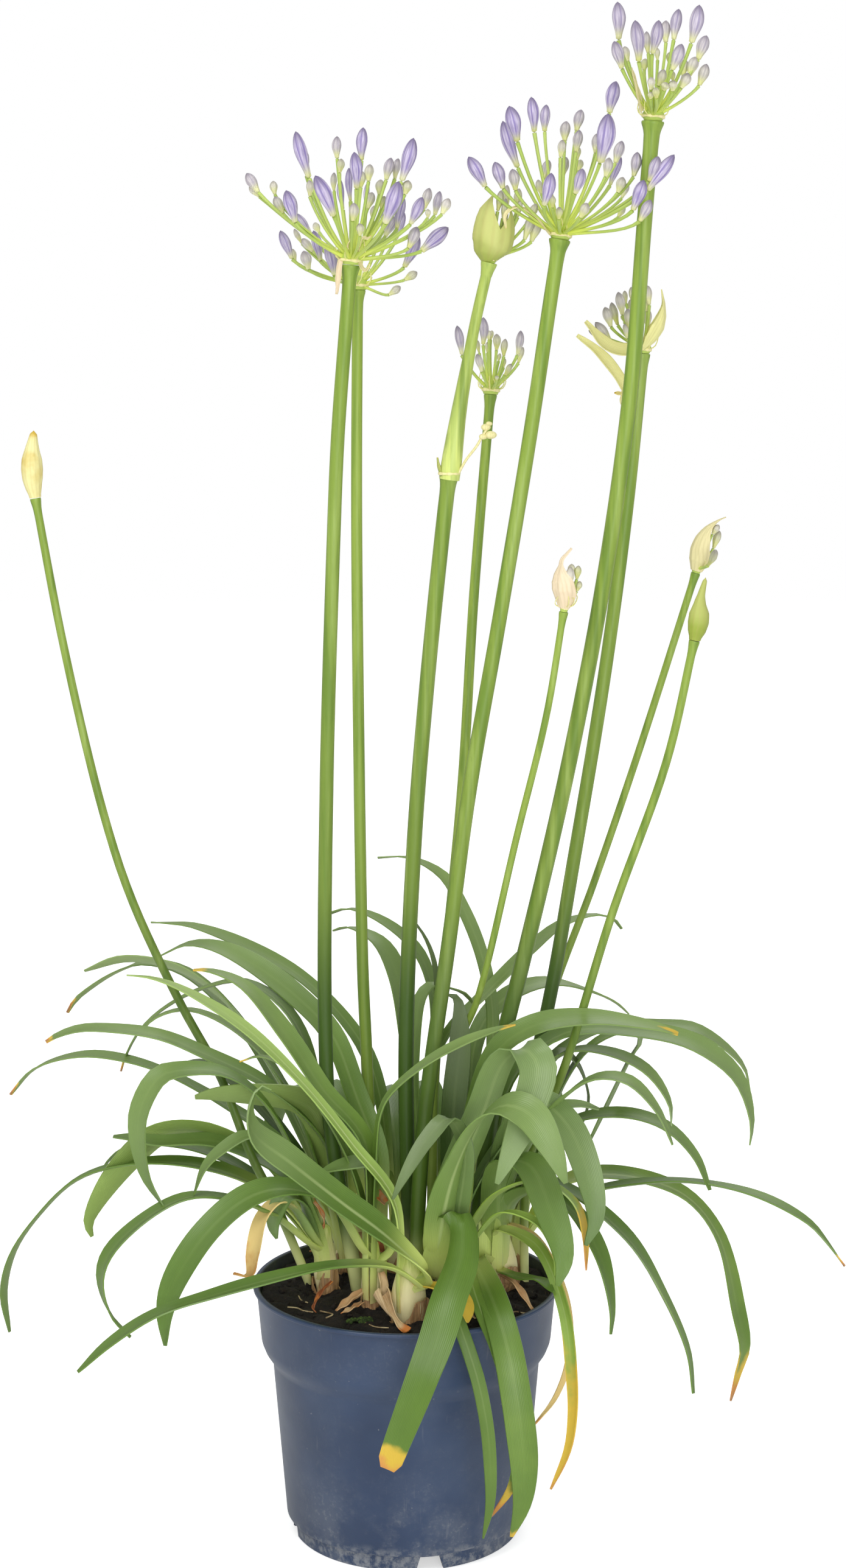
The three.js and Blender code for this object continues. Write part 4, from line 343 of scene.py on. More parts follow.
# The cupped valves of a case that has split: the piece that each grows from, look, the way it faces, half
# angles and radii at even steps, rim, and route
VALVES = [
    ("umbel_two_tier", "lime case", 0, (180, 180), (3.6, 8.6, 11.4, 12, 11.9, 11.3, 9.9, 7.6, 3), TORN_RIM,
        [(48, -9.5, 781), (49, -9.8, 787), (50.5, -10, 792), (51.9, -10, 803), (53.2, -10, 813),
        (53.8, -10, 821)]),
    ("umbel_splitting_front", "pink case", -160, (160, 130, 112, 98, 80, 50, 60, 60),
        (3.2, 6, 8.2, 8.6, 7.2, 3.8, 2, 1.4), EVEN_RIM,
        [(92, -50, 583.3), (93, -50, 590), (93.6, -50, 598), (92.8, -50, 607), (92.6, -50, 611),
        (97, -50, 617.5)]),
    ("umbel_splitting_back", "cream case", -172, (170, 150, 132, 112, 84, 48, 24),
        (3.6, 6.4, 6.8, 6, 4.4, 2.6, 1), EVEN_RIM,
        [(179.4, 60, 595.4), (181.2, 60, 602), (182.8, 60, 610), (186.5, 60, 618), (192, 60, 624),
        (197.5, 60, 628)]),
    ("umbel_right_back", "lemon case", 0, (80, 95, 88, 66, 40, 12), (2.6, 6.4, 8.6, 8.2, 6, 2.4), EVEN_RIM,
        [(142, 50, 731), (146.5, 50, 741), (149.5, 50, 752), (152.5, 50, 767)]),
]

# Shut bud cases: their stem, radii at even steps from its end to the beak, look, and route from its end
BUD_CASES = {
    "bud_case_far_right": ("scape_far_right", (2.8, 5, 5.9, 5.6, 3.6, 2.2, 1.6, 1), "green case",
        [(0, 0, 0), (2, 0, 11), (3, 0, 24), (6, 0, 37)]),
    "bud_case_far_left": ("scape_far_left", (3, 4.6, 5.8, 6.2, 5.8, 4.2, 2.8, 1.6), "dry case",
        [(0, 0, 0), (-1.5, 0.2, 11), (-1.5, 0.2, 26), (0, 0, 40)]),
}

# How pale the stems are, from 0 to 1. The other stems are mature, and the upper tier is as pale as can be.
PALE_STEMS = {
    "scape_far_left": 0.55, "scape_left_back": 0.85, "scape_middle": 0.5, "scape_splitting_front": 0.9,
    "scape_splitting_back": 0.85, "scape_far_right": 0.8, "scape_right": 0.45, "scape_centre_back": 1,
}
MATURE_PALENESS = 0.3

# A stem's collar: how far back from its end, and how far from the stem's radius to the collar's
COLLAR_LENGTH = 8
COLLAR_FLARE = ((7.5, 0.12), (5.5, 0.28), (3.6, 0.52), (2, 0.78), (0.7, 0.92), (0, 0.82))

# The ring on the two-tier stem where its upper tier starts: its middle, its radius, the radii of the upper
# tier's swollen foot, and from the ring's middle two horns and a thread with shrunken buds (place and radius)
NODE_RING = (26, -5, 658)
NODE_RIM = 6.2
SWELLING_RADII = (6.1, 6.2, 6, 5.6, 5.2, 4.8, 4.5, 4.2, 4, 3.8, 3.6, 3.4, 3.2, 3)
NODE_HORN_WIDTH = 5
NODE_HORN = ((4.6, -1, -1), (6.4, -1.5, 4), (6.9, -1.5, 10))
NODE_THREAD = ((5.5, -3, 1), (10, -6, 9), (16, -9, 17), (20, -10, 24), (22, -10, 27))
SHRUNKEN_BUDS = (((21, -10, 28), 2.2), ((24, -10, 23.5), 2.6), ((19.5, -10, 22.5), 1.9), ((23, -9, 30), 1.5))

# Dry sheaths and old leaf feet on the soil: width, look, half angles of their curl, and route
SCRAPS = [
    (19, "funnel", (2.6, 2.4, 2, 1.6, 0.9), [(-16, -56, 168), (-12, -62, 164), (-7, -69, 160),
        (-3, -76, 157), (1, -81, 156)]),
    (8, "dry case", (1.6, 1.4, 0.9), [(-25, -39, 166), (-34, -46, 162), (-42, -52, 158.5)]),
    (4, "dead", (1.2, 1, 0.6), [(-26, -42, 160), (-33, -50, 159), (-39, -55, 158)]),
    (2.4, "brown curl", (1.5, 1.5, 1.5), [(-45, -30, 169), (-51, -36, 165), (-55, -42, 160),
        (-56, -45, 157.5), (-54, -48, 156)]),
    (9, "dry case", (1.4, 1.2, 0.8), [(-30, 0, 190), (-28, -2, 176), (-27, -4, 162)]),
    (10, "brown curl", (1.2, 1.2, 0.8), [(-27, -26, 188), (-19, -28, 191), (-12, -29, 186)]),
    (6, "dry case", (1.4, 1.2, 0.8), [(-15, -42, 179), (-13, -45, 172), (-14, -47, 164)]),
    (7, "rust", (1, 0.8, 0.6), [(-56, -12, 204), (-59, -14, 215), (-64, -16, 225), (-70, -20, 236)]),
    (6, "rust", (1, 0.8, 0.6), [(-12, -30, 219), (-17, -32, 225), (-23, -34, 231)]),
    (2.2, "rust", (1.2, 1.2, 1.2), [(-57, -19, 217), (-53, -22, 213), (-50, -22, 206), (-51, -20, 200),
        (-55, -18, 197)]),
    (5, "dead", (1.6, 1.2, 0.8), [(58, -20, 170), (66, -30, 168), (74, -40, 160), (77, -47, 157)]),
    (9, "dry case", (1.5, 1.3, 1), [(48, -14, 172), (44, -26, 164), (41, -36, 160)]),
    (6, "dry case", (1.5, 1.3, 1), [(30, -52, 166), (36, -60, 162), (42, -64, 158)]),
    (8, "dead", (1.3, 1.2, 1), [(-36, 44, 166), (-50, 54, 162), (-62, 58, 158)]),
    (7, "dry case", (1.3, 1.2, 1), [(34, 66, 166), (44, 74, 162), (50, 76, 157)]),
]

# Pale roots that lie on the soil: their radius and their route in plan
ROOTS = [
    (0.45, [(-52, -42), (-46, -46), (-44, -52), (-48, -55)]),
    (0.4, [(-66, -20), (-64, -26), (-60, -30)]),
    (0.45, [(-72, -36), (-66, -38), (-62, -44), (-56, -46)]),
    (0.4, [(-24, -66), (-18, -70), (-10, -70)]),
    (0.4, [(60, -50), (66, -46), (72, -48), (76, -42)]),
    (0.35, [(20, 78), (28, 74), (36, 78)]),
    (0.4, [(-60, 40), (-66, 34), (-74, 36)]),
]

# Looks: tint (0 deep green to 1 lime, or 0 cream to 1 green on a bract), greyness (pinkness on a bract),
# where the dry end starts, how dry it gets, dryness all over, and how pale the midrib is
LOOKS = {
    "fresh": (0.48, 0.10, 1, 0, 0, 0.15),
    "dark": (0.10, 0.05, 1, 0, 0, 0.15),
    "lime": (0.80, 0, 1, 0, 0, 0.30),
    "light": (0.60, 0.30, 1, 0, 0, 0.20),
    # A leaf whose pale grey-green is painted sheen, as if lit from above.
    "painted sheen": (0.85, 0.95, 1, 0, 0, 0.50),
    "grey": (0.42, 0.50, 1, 0, 0, 0.30),
    "blue": (0.15, 0.30, 1, 0, 0, 0.20),
    "pale rib": (0.50, 0.12, 1, 0, 0, 0.65),
    "brown tip": (0.50, 0.12, 0.975, 1, 0, 0.20),
    "yellow tip": (0.55, 0.05, 0.955, 0.5, 0, 0.10),
    "blunt yellow tip": (0.40, 0, 0.925, 0.66, 0, 0.03),
    "half yellow": (0.60, 0.05, 0.84, 0.85, 0, 0.30),
    "patchy": (0.75, 0, 0.42, 0.56, 0.04, 0.20),
    "yellowing": (0.90, 0, 0.60, 0.62, 0, 0.20),
    "straw": (0.90, 0.90, 0.10, 0.62, 0, 0.10),
    "bright": (0.95, 0.45, 1, 0, 0, 0.80),
    "gold": (0.60, 0, 1, 0, 0.36, 0.10),
    "dead": (0.60, 0.90, 0.85, 0.60, 0.44, 0.10),
    "lime case": (0.78, 0, 0.90, 0.30, 0.02, 0),
    "lemon case": (0.12, 0, 0.97, 0.20, 0, 0),
    "cream case": (0.15, 0.45, 0.92, 0.25, 0.03, 0),
    "pink case": (0.05, 0.95, 0.92, 0.20, 0, 0),
    "green case": (1, 0, 0.93, 0.30, 0, 0),
    "dry case": (0, 0.15, 0.80, 0.45, 0.24, 0),
    "brown curl": (0.40, 0, 0, 1, 1, 0),
    "rust": (0.40, 0, 0, 0.6, 0.6, 0),
    "funnel": (0.10, 0.1, 0.55, 0.74, 0, 0),
}

# ---------- how fine the pieces are ----------

ROUTE_STEPS = 24
BLADE_ALONG = 44
BLADE_ACROSS = 8
SHELL_ACROSS = 40
SCAPE_RINGS = 48
PEDICEL_RINGS = 9
ROOT_RINGS = 14
BUD_SEGMENTS = 18
BUD_RINGS = 14
CASE_RINGS = 40
POT_SEGMENTS = 128
SOIL_CELLS = 110
SOIL_CRUMBS = 420
MOSS_TUFTS = 110
# Blender's bevel resolutions for round stems and threads
STEM_ROUNDNESS = 4
FINE_ROUNDNESS = 1
THREAD_ROUNDNESS = 0

# ---------- leaf, crown and bud measures ----------

BLADE_THICKNESS = 0.9
BRACT_THICKNESS = 0.6
# Half angles of the curl across a blade, at even steps along it
LEAF_CURL = (1, 0.6, 0.42, 0.36, 0.28)
BLUNT_CURL = (0.6, -1.3, -0.7, 0.15, 0.2)
BRACT_CURL = (1.1, 1.2, 1.1, 0.9, 0.8)
HORN_CURL = (1.2, 1.2, 1)
# How wide a leaf is at its tip, as a share of its full width. A blunt tip is rounded off as well.
LEAF_TIP, BLUNT_TIP = 0.1, 0.58
# Waves along a blade, and how far its edges rise and fall with them
RUFFLES = 2.3
LEAF_RUFFLE, BRACT_RUFFLE, HORN_RUFFLE, SCRAP_RUFFLE = 0.5, 0.25, 0.1, 0.6
# How far along its route a leaf clasps its shoot, where it is free, and the half angle that it clasps
CLASPS_UNTIL, FREE_FROM = 14, 62
CLASP_ANGLE = 1.5
CROWN_FOOT, CROWN_HEIGHT = 139, 58
CROWN_SHEATHS = 4
SHEATH_SPREADS = (75, 70, 52, 34)
SHEATH_FRAY = 9
LEAF_FOOT_Z = 160
# A leaf that starts lower or less steeply than this doesn't clasp its shoot
LOW_LEAF_Z = 205
LOW_LEAF_STEEPNESS = 0.45
RECEPTACLE_HEIGHT = 3
THREAD_RADII = (0.4, 0.38, 0.36, 0.34, 0.32, 0.3, 0.3)
# A bud up to the first length is green, and from the second on it is as ripe as its umbel
GREEN_LENGTH, RIPE_LENGTH = 4, 19
# How far a shut bud case stands off its stem's end
GAP = 0.3

# ---------- pot and soil measures ----------

POT_PROFILE = [
    (67, 10.5), (67, 0), (70.2, 0), (71, 0.8), (71.3, 9), (71.6, 10.2), (74.4, 10.9), (75, 11.9),
    (83, 110), (83.6, 112), (86.6, 116.4), (88, 118.6), (89.7, 123), (90.1, 125), (92.7, 155),
    (93, 156.1), (94.6, 156.5), (95, 157.1), (95, 158.2), (94.6, 158.8), (94, 159), (92.4, 159),
    (91.6, 158.7), (91.2, 158), (88.6, 125), (88.2, 124), (86.4, 119.4), (85.2, 117.8), (81.6, 112),
    (81.4, 110), (73.6, 13.4), (72.6, 12.5),
]
INSIDE_Z = 100
NOTCH_ANGLES = (-78, 12, 102, 192)
NOTCH_REACH = (60, 90)
# A notch's width and height at its top and at its foot
NOTCH_TOP, NOTCH_FOOT = (12, 9), (18.5, -2)
SOIL_EDGE_Z = 153
SOIL_MOUND, MOUND_RADIUS = 3.5, 95
SOIL_RADIUS = 89.6
# The soil's wall inside the pot, as radius and height of each step down
SOIL_WALL = ((88, 125.4), (85.6, 119.8), (81, 111.2), (73.2, 12.9))
CRUMB_REACH = 86
MOSS_PLACE = (-27, -62)
MOSS_REACH = 6

# ---------- scene, camera and lights ----------

CAMERA_PLACE = (0.0105, -1.650, 0.742)
CAMERA_TILT = 80.7
CAMERA_LENS = 63.6
PLANT_MIDDLE, POT_MIDDLE = (0, 0, 0.45), (0, 0, 0.15)
WORLD_LIGHT = 0.58


def place_camera():
    bpy.ops.object.camera_add(location=CAMERA_PLACE, rotation=(math.radians(CAMERA_TILT), 0, 0))
    camera = bpy.context.object
    camera.name = "camera"
    camera.data.sensor_fit = "VERTICAL"
    camera.data.sensor_height = 36
    camera.data.lens = CAMERA_LENS
    camera.data.clip_end = 50
    camera.data.dof.use_dof = False
    bpy.context.scene.camera = camera


def place_light(name, place, aim, size, power):
    bpy.ops.object.light_add(type="AREA", location=place)
    light = bpy.context.object
    light.name = name
    light.data.shape = "DISK"
    light.data.size = size
    light.data.energy = power
    light.rotation_euler = (Vector(aim) - Vector(place)).to_track_quat("-Z", "Y").to_euler()


def light_the_studio():
    """Three soft lights, and a world that is white to the camera and dimmer as a light."""
    place_light("key light", (-1.2, -1.7, 2.9), PLANT_MIDDLE, 1.4, 36)
    place_light("front light", (0.4, -2.4, 0.8), POT_MIDDLE, 1.2, 24)
    place_light("back light", (0.6, 2.2, 2.2), PLANT_MIDDLE, 2, 16)
    world = bpy.data.worlds.new("pale studio")
    world.use_nodes = True
    tree = world.node_tree
    seen = node(tree, "LightPath").outputs["Is Camera Ray"]
    background = tree.nodes["Background"].inputs
    background["Color"].default_value = (1, 1, 1, 1)
    tree.links.new(calc(tree, "MULTIPLY_ADD", seen, 1 - WORLD_LIGHT, WORLD_LIGHT), background["Strength"])
    bpy.context.scene.world = world
    bpy.context.scene.view_settings.view_transform = "Standard"


# ---------- modelling helpers ----------


def deselect_all():
    bpy.ops.object.select_all(action="DESELECT")


def pick(piece):
    deselect_all()
    piece.select_set(True)
    bpy.context.view_layer.objects.active = piece


def apply_modifier(piece, kind, **settings):
    pick(piece)
    modifier = piece.modifiers.new(kind.lower(), kind)
    for key, value in settings.items():
        setattr(modifier, key, value)
    bpy.ops.object.modifier_apply(modifier=modifier.name)


def join(name, pieces):
    deselect_all()
    for piece in pieces:
        piece.select_set(True)
    bpy.context.view_layer.objects.active = pieces[0]
    if len(pieces) > 1:
        bpy.ops.object.join()
    pieces[0].name = name
    return pieces[0]


def copy_of(piece):
    twin = piece.copy()
    twin.data = piece.data.copy()
    bpy.context.scene.collection.objects.link(twin)
    return twin


def remove(piece):
    bpy.data.objects.remove(piece, do_unlink=True)


def smooth(piece, angle):
    pick(piece)
    bpy.ops.object.shade_smooth_by_angle(angle=math.radians(angle))


def write_look(piece, values):
    """One look (four numbers) for the whole piece, or a list of one for each vertex."""
    mesh = piece.data
    if not isinstance(values, list):
        values = [values] * len(mesh.vertices)
    layer = mesh.color_attributes.get("look") or mesh.color_attributes.new("look", "FLOAT_COLOR", "POINT")
    layer.data.foreach_set("color", [number for value in values for number in value])


def dress(piece, material, look):
    """Gives a piece its material and its look."""
    piece.data.materials.append(material)
    write_look(piece, look)
    return piece


def add_ball(segments, rings):
    """A ball of radius 1, the start of every rounded form."""
    deselect_all()
    bpy.ops.mesh.primitive_uv_sphere_add(segments=segments, ring_count=rings, radius=1)
    return bpy.context.object


def add_lump(subdivisions):
    """A coarse ball of radius 1 with even faces, for crumbs and tufts."""
    deselect_all()
    bpy.ops.mesh.primitive_ico_sphere_add(subdivisions=subdivisions, radius=1)
    return bpy.context.object


def bearing(vertex):
    return math.atan2(vertex.co.y, vertex.co.x)


def polar_share(vertex):
    """How far a vertex of a ball is from its lower pole, as a share of the way along the surface."""
    return math.acos(max(-1, min(1, -vertex.co.z))) / math.pi


def merge_doubles(piece, turn_out=False):
    """Merges points in one place, and may turn the faces of a closed piece outwards."""
    pick(piece)
    bpy.ops.object.mode_set(mode="EDIT")
    bpy.ops.mesh.select_all(action="SELECT")
    bpy.ops.mesh.remove_doubles(threshold=1e-6)
    if turn_out:
        bpy.ops.mesh.normals_make_consistent(inside=False)
    bpy.ops.object.mode_set(mode="OBJECT")


def select_open_rings():
    """Selects the open edges, in edit mode."""
    bpy.ops.mesh.select_all(action="DESELECT")
    bpy.ops.mesh.select_mode(type="EDGE")
    bpy.ops.mesh.select_non_manifold()


def draw_rings(start, steps):
    """Extrudes the selected ring, in edit mode, from its start to each next step of (radius, z)."""
    radius, height = start
    for next_radius, next_height in steps:
        bpy.ops.mesh.extrude_edges_move(TRANSFORM_OT_translate={"value": (0, 0, (next_height - height) * MM)})
        scale = next_radius / radius
        bpy.ops.transform.resize(value=(scale, scale, 1), center_override=(0, 0, 0))
        radius, height = next_radius, next_height


def fill_open_rings():
    """Fills the selected ring, or the band between two, turns all faces out and leaves edit mode."""
    bpy.ops.mesh.fill()
    bpy.ops.mesh.select_all(action="SELECT")
    bpy.ops.mesh.normals_make_consistent(inside=False)
    bpy.ops.object.mode_set(mode="OBJECT")


def ease(value, low, high):
    """0 below low, 1 above high and smooth between."""
    share = min(1, max(0, (value - low) / (high - low)))
    return share * share * (3 - 2 * share)


def along(numbers, share):
    """The value at share (0 to 1) of numbers that stand at even steps."""
    place = min(max(share, 0), 1) * (len(numbers) - 1)
    low = min(int(place), len(numbers) - 2)
    return numbers[low] + (numbers[low + 1] - numbers[low]) * (place - low)


def smooth_route(points, count):
    """Evenly spaced places and headings along the smooth curve through the points."""
    points = [Vector(point) for point in points]
    points = [2 * points[0] - points[1]] + points + [2 * points[-1] - points[-2]]
    dense = []
    for before, start, end, after in zip(points, points[1:], points[2:], points[3:]):
        first, middle, last = (max(1e-4, (there - here).length) ** 0.5
            for here, there in ((before, start), (start, end), (end, after)))
        leave = ((start - before) / first - (end - before) / (first + middle)
            + (end - start) / middle) * middle
        reach = ((end - start) / middle - (after - start) / (middle + last) + (after - end) / last) * middle
        for step in range(ROUTE_STEPS):
            t = step / ROUTE_STEPS
            dense.append(start * (2 * t ** 3 - 3 * t ** 2 + 1) + leave * (t ** 3 - 2 * t ** 2 + t)
                + end * (3 * t ** 2 - 2 * t ** 3) + reach * (t ** 3 - t ** 2))
    dense.append(points[-2])
    lengths = [0]
    for here, there in zip(dense, dense[1:]):
        lengths.append(lengths[-1] + (there - here).length)
    places, low = [], 0
    for step in range(count):
        wanted = lengths[-1] * step / (count - 1)
        while low < len(lengths) - 2 and lengths[low + 1] < wanted:
            low += 1
        part = (wanted - lengths[low]) / max(1e-9, lengths[low + 1] - lengths[low])
        places.append(dense[low].lerp(dense[low + 1], min(1, part)))
    headings = [(places[min(i + 1, count - 1)] - places[max(i - 1, 0)]).normalized() for i in range(count)]
    return places, headings


def square_to(ahead):
    """Two directions square to a heading and to each other."""
    side = (Vector((1, 0, 0)) - ahead * ahead.x).normalized()
    return side, ahead.cross(side)


def tube(name, route, radii, roundness):
    """A round stem through the route, as a bevelled path turned into a mesh."""
    path = bpy.data.curves.new(name, "CURVE")
    path.dimensions = "3D"
    path.bevel_depth = MM
    path.bevel_resolution = roundness
    path.use_fill_caps = True
    line = path.splines.new("POLY")
    line.points.add(len(route) - 1)
    for point, place, radius in zip(line.points, route, radii):
        point.co = (*(Vector(place) * MM), 1)
        point.radius = radius
    stem = bpy.data.objects.new(name, path)
    bpy.context.scene.collection.objects.link(stem)
    pick(stem)
    bpy.ops.object.convert(target="MESH")
    merge_doubles(stem, turn_out=True)
    return stem


def turn_round(name, segments, profile):
    """A body turned round a profile of (radius, z), with a band filled in from its last ring to its first."""
    deselect_all()
    radius, height = profile[0]
    bpy.ops.mesh.primitive_circle_add(vertices=segments, radius=radius * MM, location=(0, 0, height * MM))
    body = bpy.context.object
    body.name = name
    bpy.ops.object.mode_set(mode="EDIT")
    bpy.ops.mesh.select_all(action="SELECT")
    draw_rings(profile[0], profile[1:])
    select_open_rings()
    fill_open_rings()
    bpy.ops.object.transform_apply(location=True, rotation=True, scale=True)
    return body


# ---------- leaves, sheaths and bracts ----------


def model_strap(name, across):
    """A flat strap of unit length and width, the start of every leaf, sheath, bract and scrap."""
    deselect_all()
    bpy.ops.mesh.primitive_grid_add(x_subdivisions=across, y_subdivisions=BLADE_ALONG, size=1,
        location=(0, 0.5, 0))
    strap = bpy.context.object
    strap.name = name
    bpy.ops.object.transform_apply(location=True, rotation=True, scale=True)
    return strap


def leaf_width(share):
    base = 0.60 + 0.40 * ease(share, 0, 0.32)
    if share < 0.66:
        return base
    return base * (1 - (1 - LEAF_TIP) * ((share - 0.66) / 0.34) ** 2.4)


def blunt_width(share):
    base = 0.72 + 0.28 * ease(share, 0.25, 0.5)
    rounded = 1 - 0.4 * max(0, (share - 0.965) / 0.035) ** 3
    return base * (1 - (1 - BLUNT_TIP) * max(0, (share - 0.42) / 0.58) ** 1.5) * rounded


def bract_width(share):
    return 0.35 + 0.65 * math.sin(math.pi * min(1, 0.15 + 0.8 * share)) - 0.25 * share


def funnel_width(share):
    return 1.3 - 1.05 * ease(share, 0, 0.55) + 0.14 * ease(share, 0.82, 1)


def dryness(look, share, across, seed):
    """How dry the blade is at a place: 0 fresh, about a half yellow, 1 brown."""
    _, _, dry_from, dry_full, dry_all, _ = look
    patch = noise.noise(Vector((share * 6, across * 0.8, seed * 9.7)))
    tip = dry_full * ease(share + 0.04 * patch, dry_from, 1) if dry_full else 0
    body = dry_all * (0.92 + 0.4 * patch)
    edge = 0.10 * ease(abs(across), 0.85, 1)
    return min(1, max(0, tip, body) + edge * (1 if 0 < dry_all < 0.2 else 0.35))


def blade_frames(turns, route):
    """A blade's frames along its route, as place, side and up, and its length. The side lies square to the
    heading and is turned round it by turns: where they are positive, the upper face goes to the front."""
    places, headings = smooth_route(route, BLADE_ALONG + 1)
    length = sum((there - here).length for here, there in zip(places, places[1:]))
    heading = Vector((route[-1][0] - route[0][0], route[-1][1] - route[0][1], 0)).normalized()
    level = Vector((0, 0, 1)).cross(heading)
    front = 1 if heading.x >= 0 else -1
    frames = []
    for row, (place, ahead) in enumerate(zip(places, headings)):
        side = (level - ahead * level.dot(ahead)).normalized()
        side.rotate(Matrix.Rotation(math.radians(front * along(turns, row / BLADE_ALONG)), 3, ahead))
        frames.append((place, side, ahead.cross(side)))
    return frames, length


def lay_blade(strap, width, turns, look_name, route, width_at, curl, ruffle, seed=0, clasp=(0, 0)):
    """A copy of the strap laid along its route. It curls up by a half angle, and its edges wave by ruffle.
    The first stretch of a leaf clasps its shoot by clasp, a radius and a half angle."""
    blade = copy_of(strap)
    frames, length = blade_frames(turns, route)
    clasp_radius, clasp_angle = clasp
    look = LOOKS[look_name]
    looks = []
    for vertex in blade.data.vertices:
        share = vertex.co.y
        across = -2 * vertex.co.x
        place, side, up = frames[round(share * BLADE_ALONG)]
        half = width / 2 * width_at(share)
        bend = along(curl, share) or 0.01
        if clasp_angle:
            free = ease(share * length, CLASPS_UNTIL, FREE_FROM)
            half = clasp_radius * clasp_angle * (1 - free) + half * free
            bend = clasp_angle * (1 - free) + bend * free
        wave = ruffle * across * math.sin(2 * math.pi * (RUFFLES * share + seed)) * ease(share, 0.1, 0.4)
        lift = half / bend * (1 - math.cos(bend * across)) + wave
        vertex.co = (place + side * (half / bend * math.sin(bend * across)) + up * lift) * MM
        looks.append((look[0], look[1], dryness(look, share, across, seed), look[5]))
    write_look(blade, looks)
    return blade


def thicken(piece, thickness, second_material=0):
    apply_modifier(piece, "SOLIDIFY", thickness=thickness * MM, offset=-1, use_even_offset=False,
        material_offset=second_material, material_offset_rim=0)


def join_paper(name, blades, material):
    """Thin blades as one piece of one material, with a thickness."""
    paper = join(name, blades)
    paper.data.materials.append(material)
    thicken(paper, BRACT_THICKNESS)
    return paper


def model_crown(name, at, girth, neck):
    """The swollen, pale foot of a shoot: overlapping sheaths that narrow into the soil."""
    crown = add_ball(32, 24)
    crown.name = name
    for vertex in crown.data.vertices:
        height = CROWN_FOOT + CROWN_HEIGHT * (vertex.co.z + 1) / 2
        angle = bearing(vertex)
        spread = min(1, math.hypot(vertex.co.x, vertex.co.y) * 2.4)
        body = neck + (1 - neck) * ease(height, 152, 168)
        body *= 0.94 - 0.50 * ease(height, 166, 196)
        lap = 0.05 * math.cos(2 * angle + height * 0.03) + 0.035 * math.cos(5 * angle + at[0])
        radius = girth * body * spread * (0.97 + lap)
        vertex.co = Vector((at[0] + radius * math.cos(angle), at[1] + radius * math.sin(angle), height)) * MM
    return dress(crown, sheath_skin, (0.5, 0, 0, 0))


def rim_height(rim, across):
    """How high a rim stands at a place across, between the places that it is given for."""
    for (left, low), (right, high) in zip(rim, rim[1:]):
        if left <= across <= right:
            return low + (high - low) * (across - left) / (right - left)
    return rim[-1][1]


def wrap(shell, facing, spreads, radii, route, look, rim=EVEN_RIM, fray=0):
    """A cupped sheath or valve round its route: it faces one way, and spreads to both sides by half angles.
    Its rim stands at a share of the route that changes across it, and is torn by fray."""
    sheath = copy_of(shell)
    seed = random.random()
    places, headings = smooth_route(route, BLADE_ALONG + 1)
    for vertex in sheath.data.vertices:
        across = 2 * vertex.co.x
        share = vertex.co.y * rim_height(rim, across)
        row = min(int(share * BLADE_ALONG), BLADE_ALONG - 1)
        place = places[row].lerp(places[row + 1], share * BLADE_ALONG - row)
        ahead = headings[row]
        side, other = square_to(ahead)
        angle = math.radians(facing + across * along(spreads, share))
        folds = 0.035 * math.cos(math.radians(9 * facing) + 9 * angle)
        radius = along(radii, share) * (1 + folds + 0.02 * math.sin(7 * share + 20 * seed))
        tear = fray * share * noise.noise(Vector((math.cos(angle) * 1.6, math.sin(angle) * 1.6, seed * 31)))
        vertex.co = (place + ahead * tear + (side * math.cos(angle) + other * math.sin(angle)) * radius) * MM
    write_look(sheath, look)
    return sheath


def wrap_crown(shell, at, girth, neck):
    """Old papery sheaths, torn short, that clasp the foot of the crown."""
    sheaths = []
    for order in range(CROWN_SHEATHS):
        facing = 360 / CROWN_SHEATHS * order + 60 * random.random()
        height = 156 + 8 * random.random() + 6 * (order % 2)
        radii = [girth * share for share in (neck + 0.02, neck * 0.5 + 0.54, 1.06, 1.1)]
        route = [(*at, 146), (*at, 152), (*at, height)]
        sheaths.append(wrap(shell, facing, SHEATH_SPREADS, radii, route, (1, 0, 0, 0), fray=SHEATH_FRAY))
    return sheaths


def leaf_root(at, girth, first):
    """Where a leaf leaves its crown, as the first points of its route, and the half angle that it clasps."""
    reach = Vector((first[0] - at[0], first[1] - at[1]))
    steepness = math.atan2(first[2] - LEAF_FOOT_Z, reach.length) / (math.pi / 2)
    out = reach.normalized() if reach.length > 1 else Vector((1, 0))
    if steepness < LOW_LEAF_STEEPNESS or first[2] < LOW_LEAF_Z:
        toward = out * girth * 0.9 * (1 - steepness)
        return [(at[0] + toward.x, at[1] + toward.y, LEAF_FOOT_Z + 30 * steepness)], 0
    toward = out * girth * (0.62 + 0.3 * random.random())
    foot = 158 + 10 * random.random()
    return [(at[0] + toward.x, at[1] + toward.y, foot),
        (at[0] + toward.x * 1.06, at[1] + toward.y * 1.06, foot + 16)], CLASP_ANGLE


def model_leaf(strap, at, girth, leaf):
    width, turns, look, route = leaf
    shape, curl = (blunt_width, BLUNT_CURL) if look == "blunt yellow tip" else (leaf_width, LEAF_CURL)
    root, half_angle = leaf_root(at, girth, route[0])
    return lay_blade(strap, width, turns, look, [*root, *route], shape, curl, LEAF_RUFFLE,
        seed=random.random(), clasp=(min(girth * 0.85, width * 0.36), half_angle))


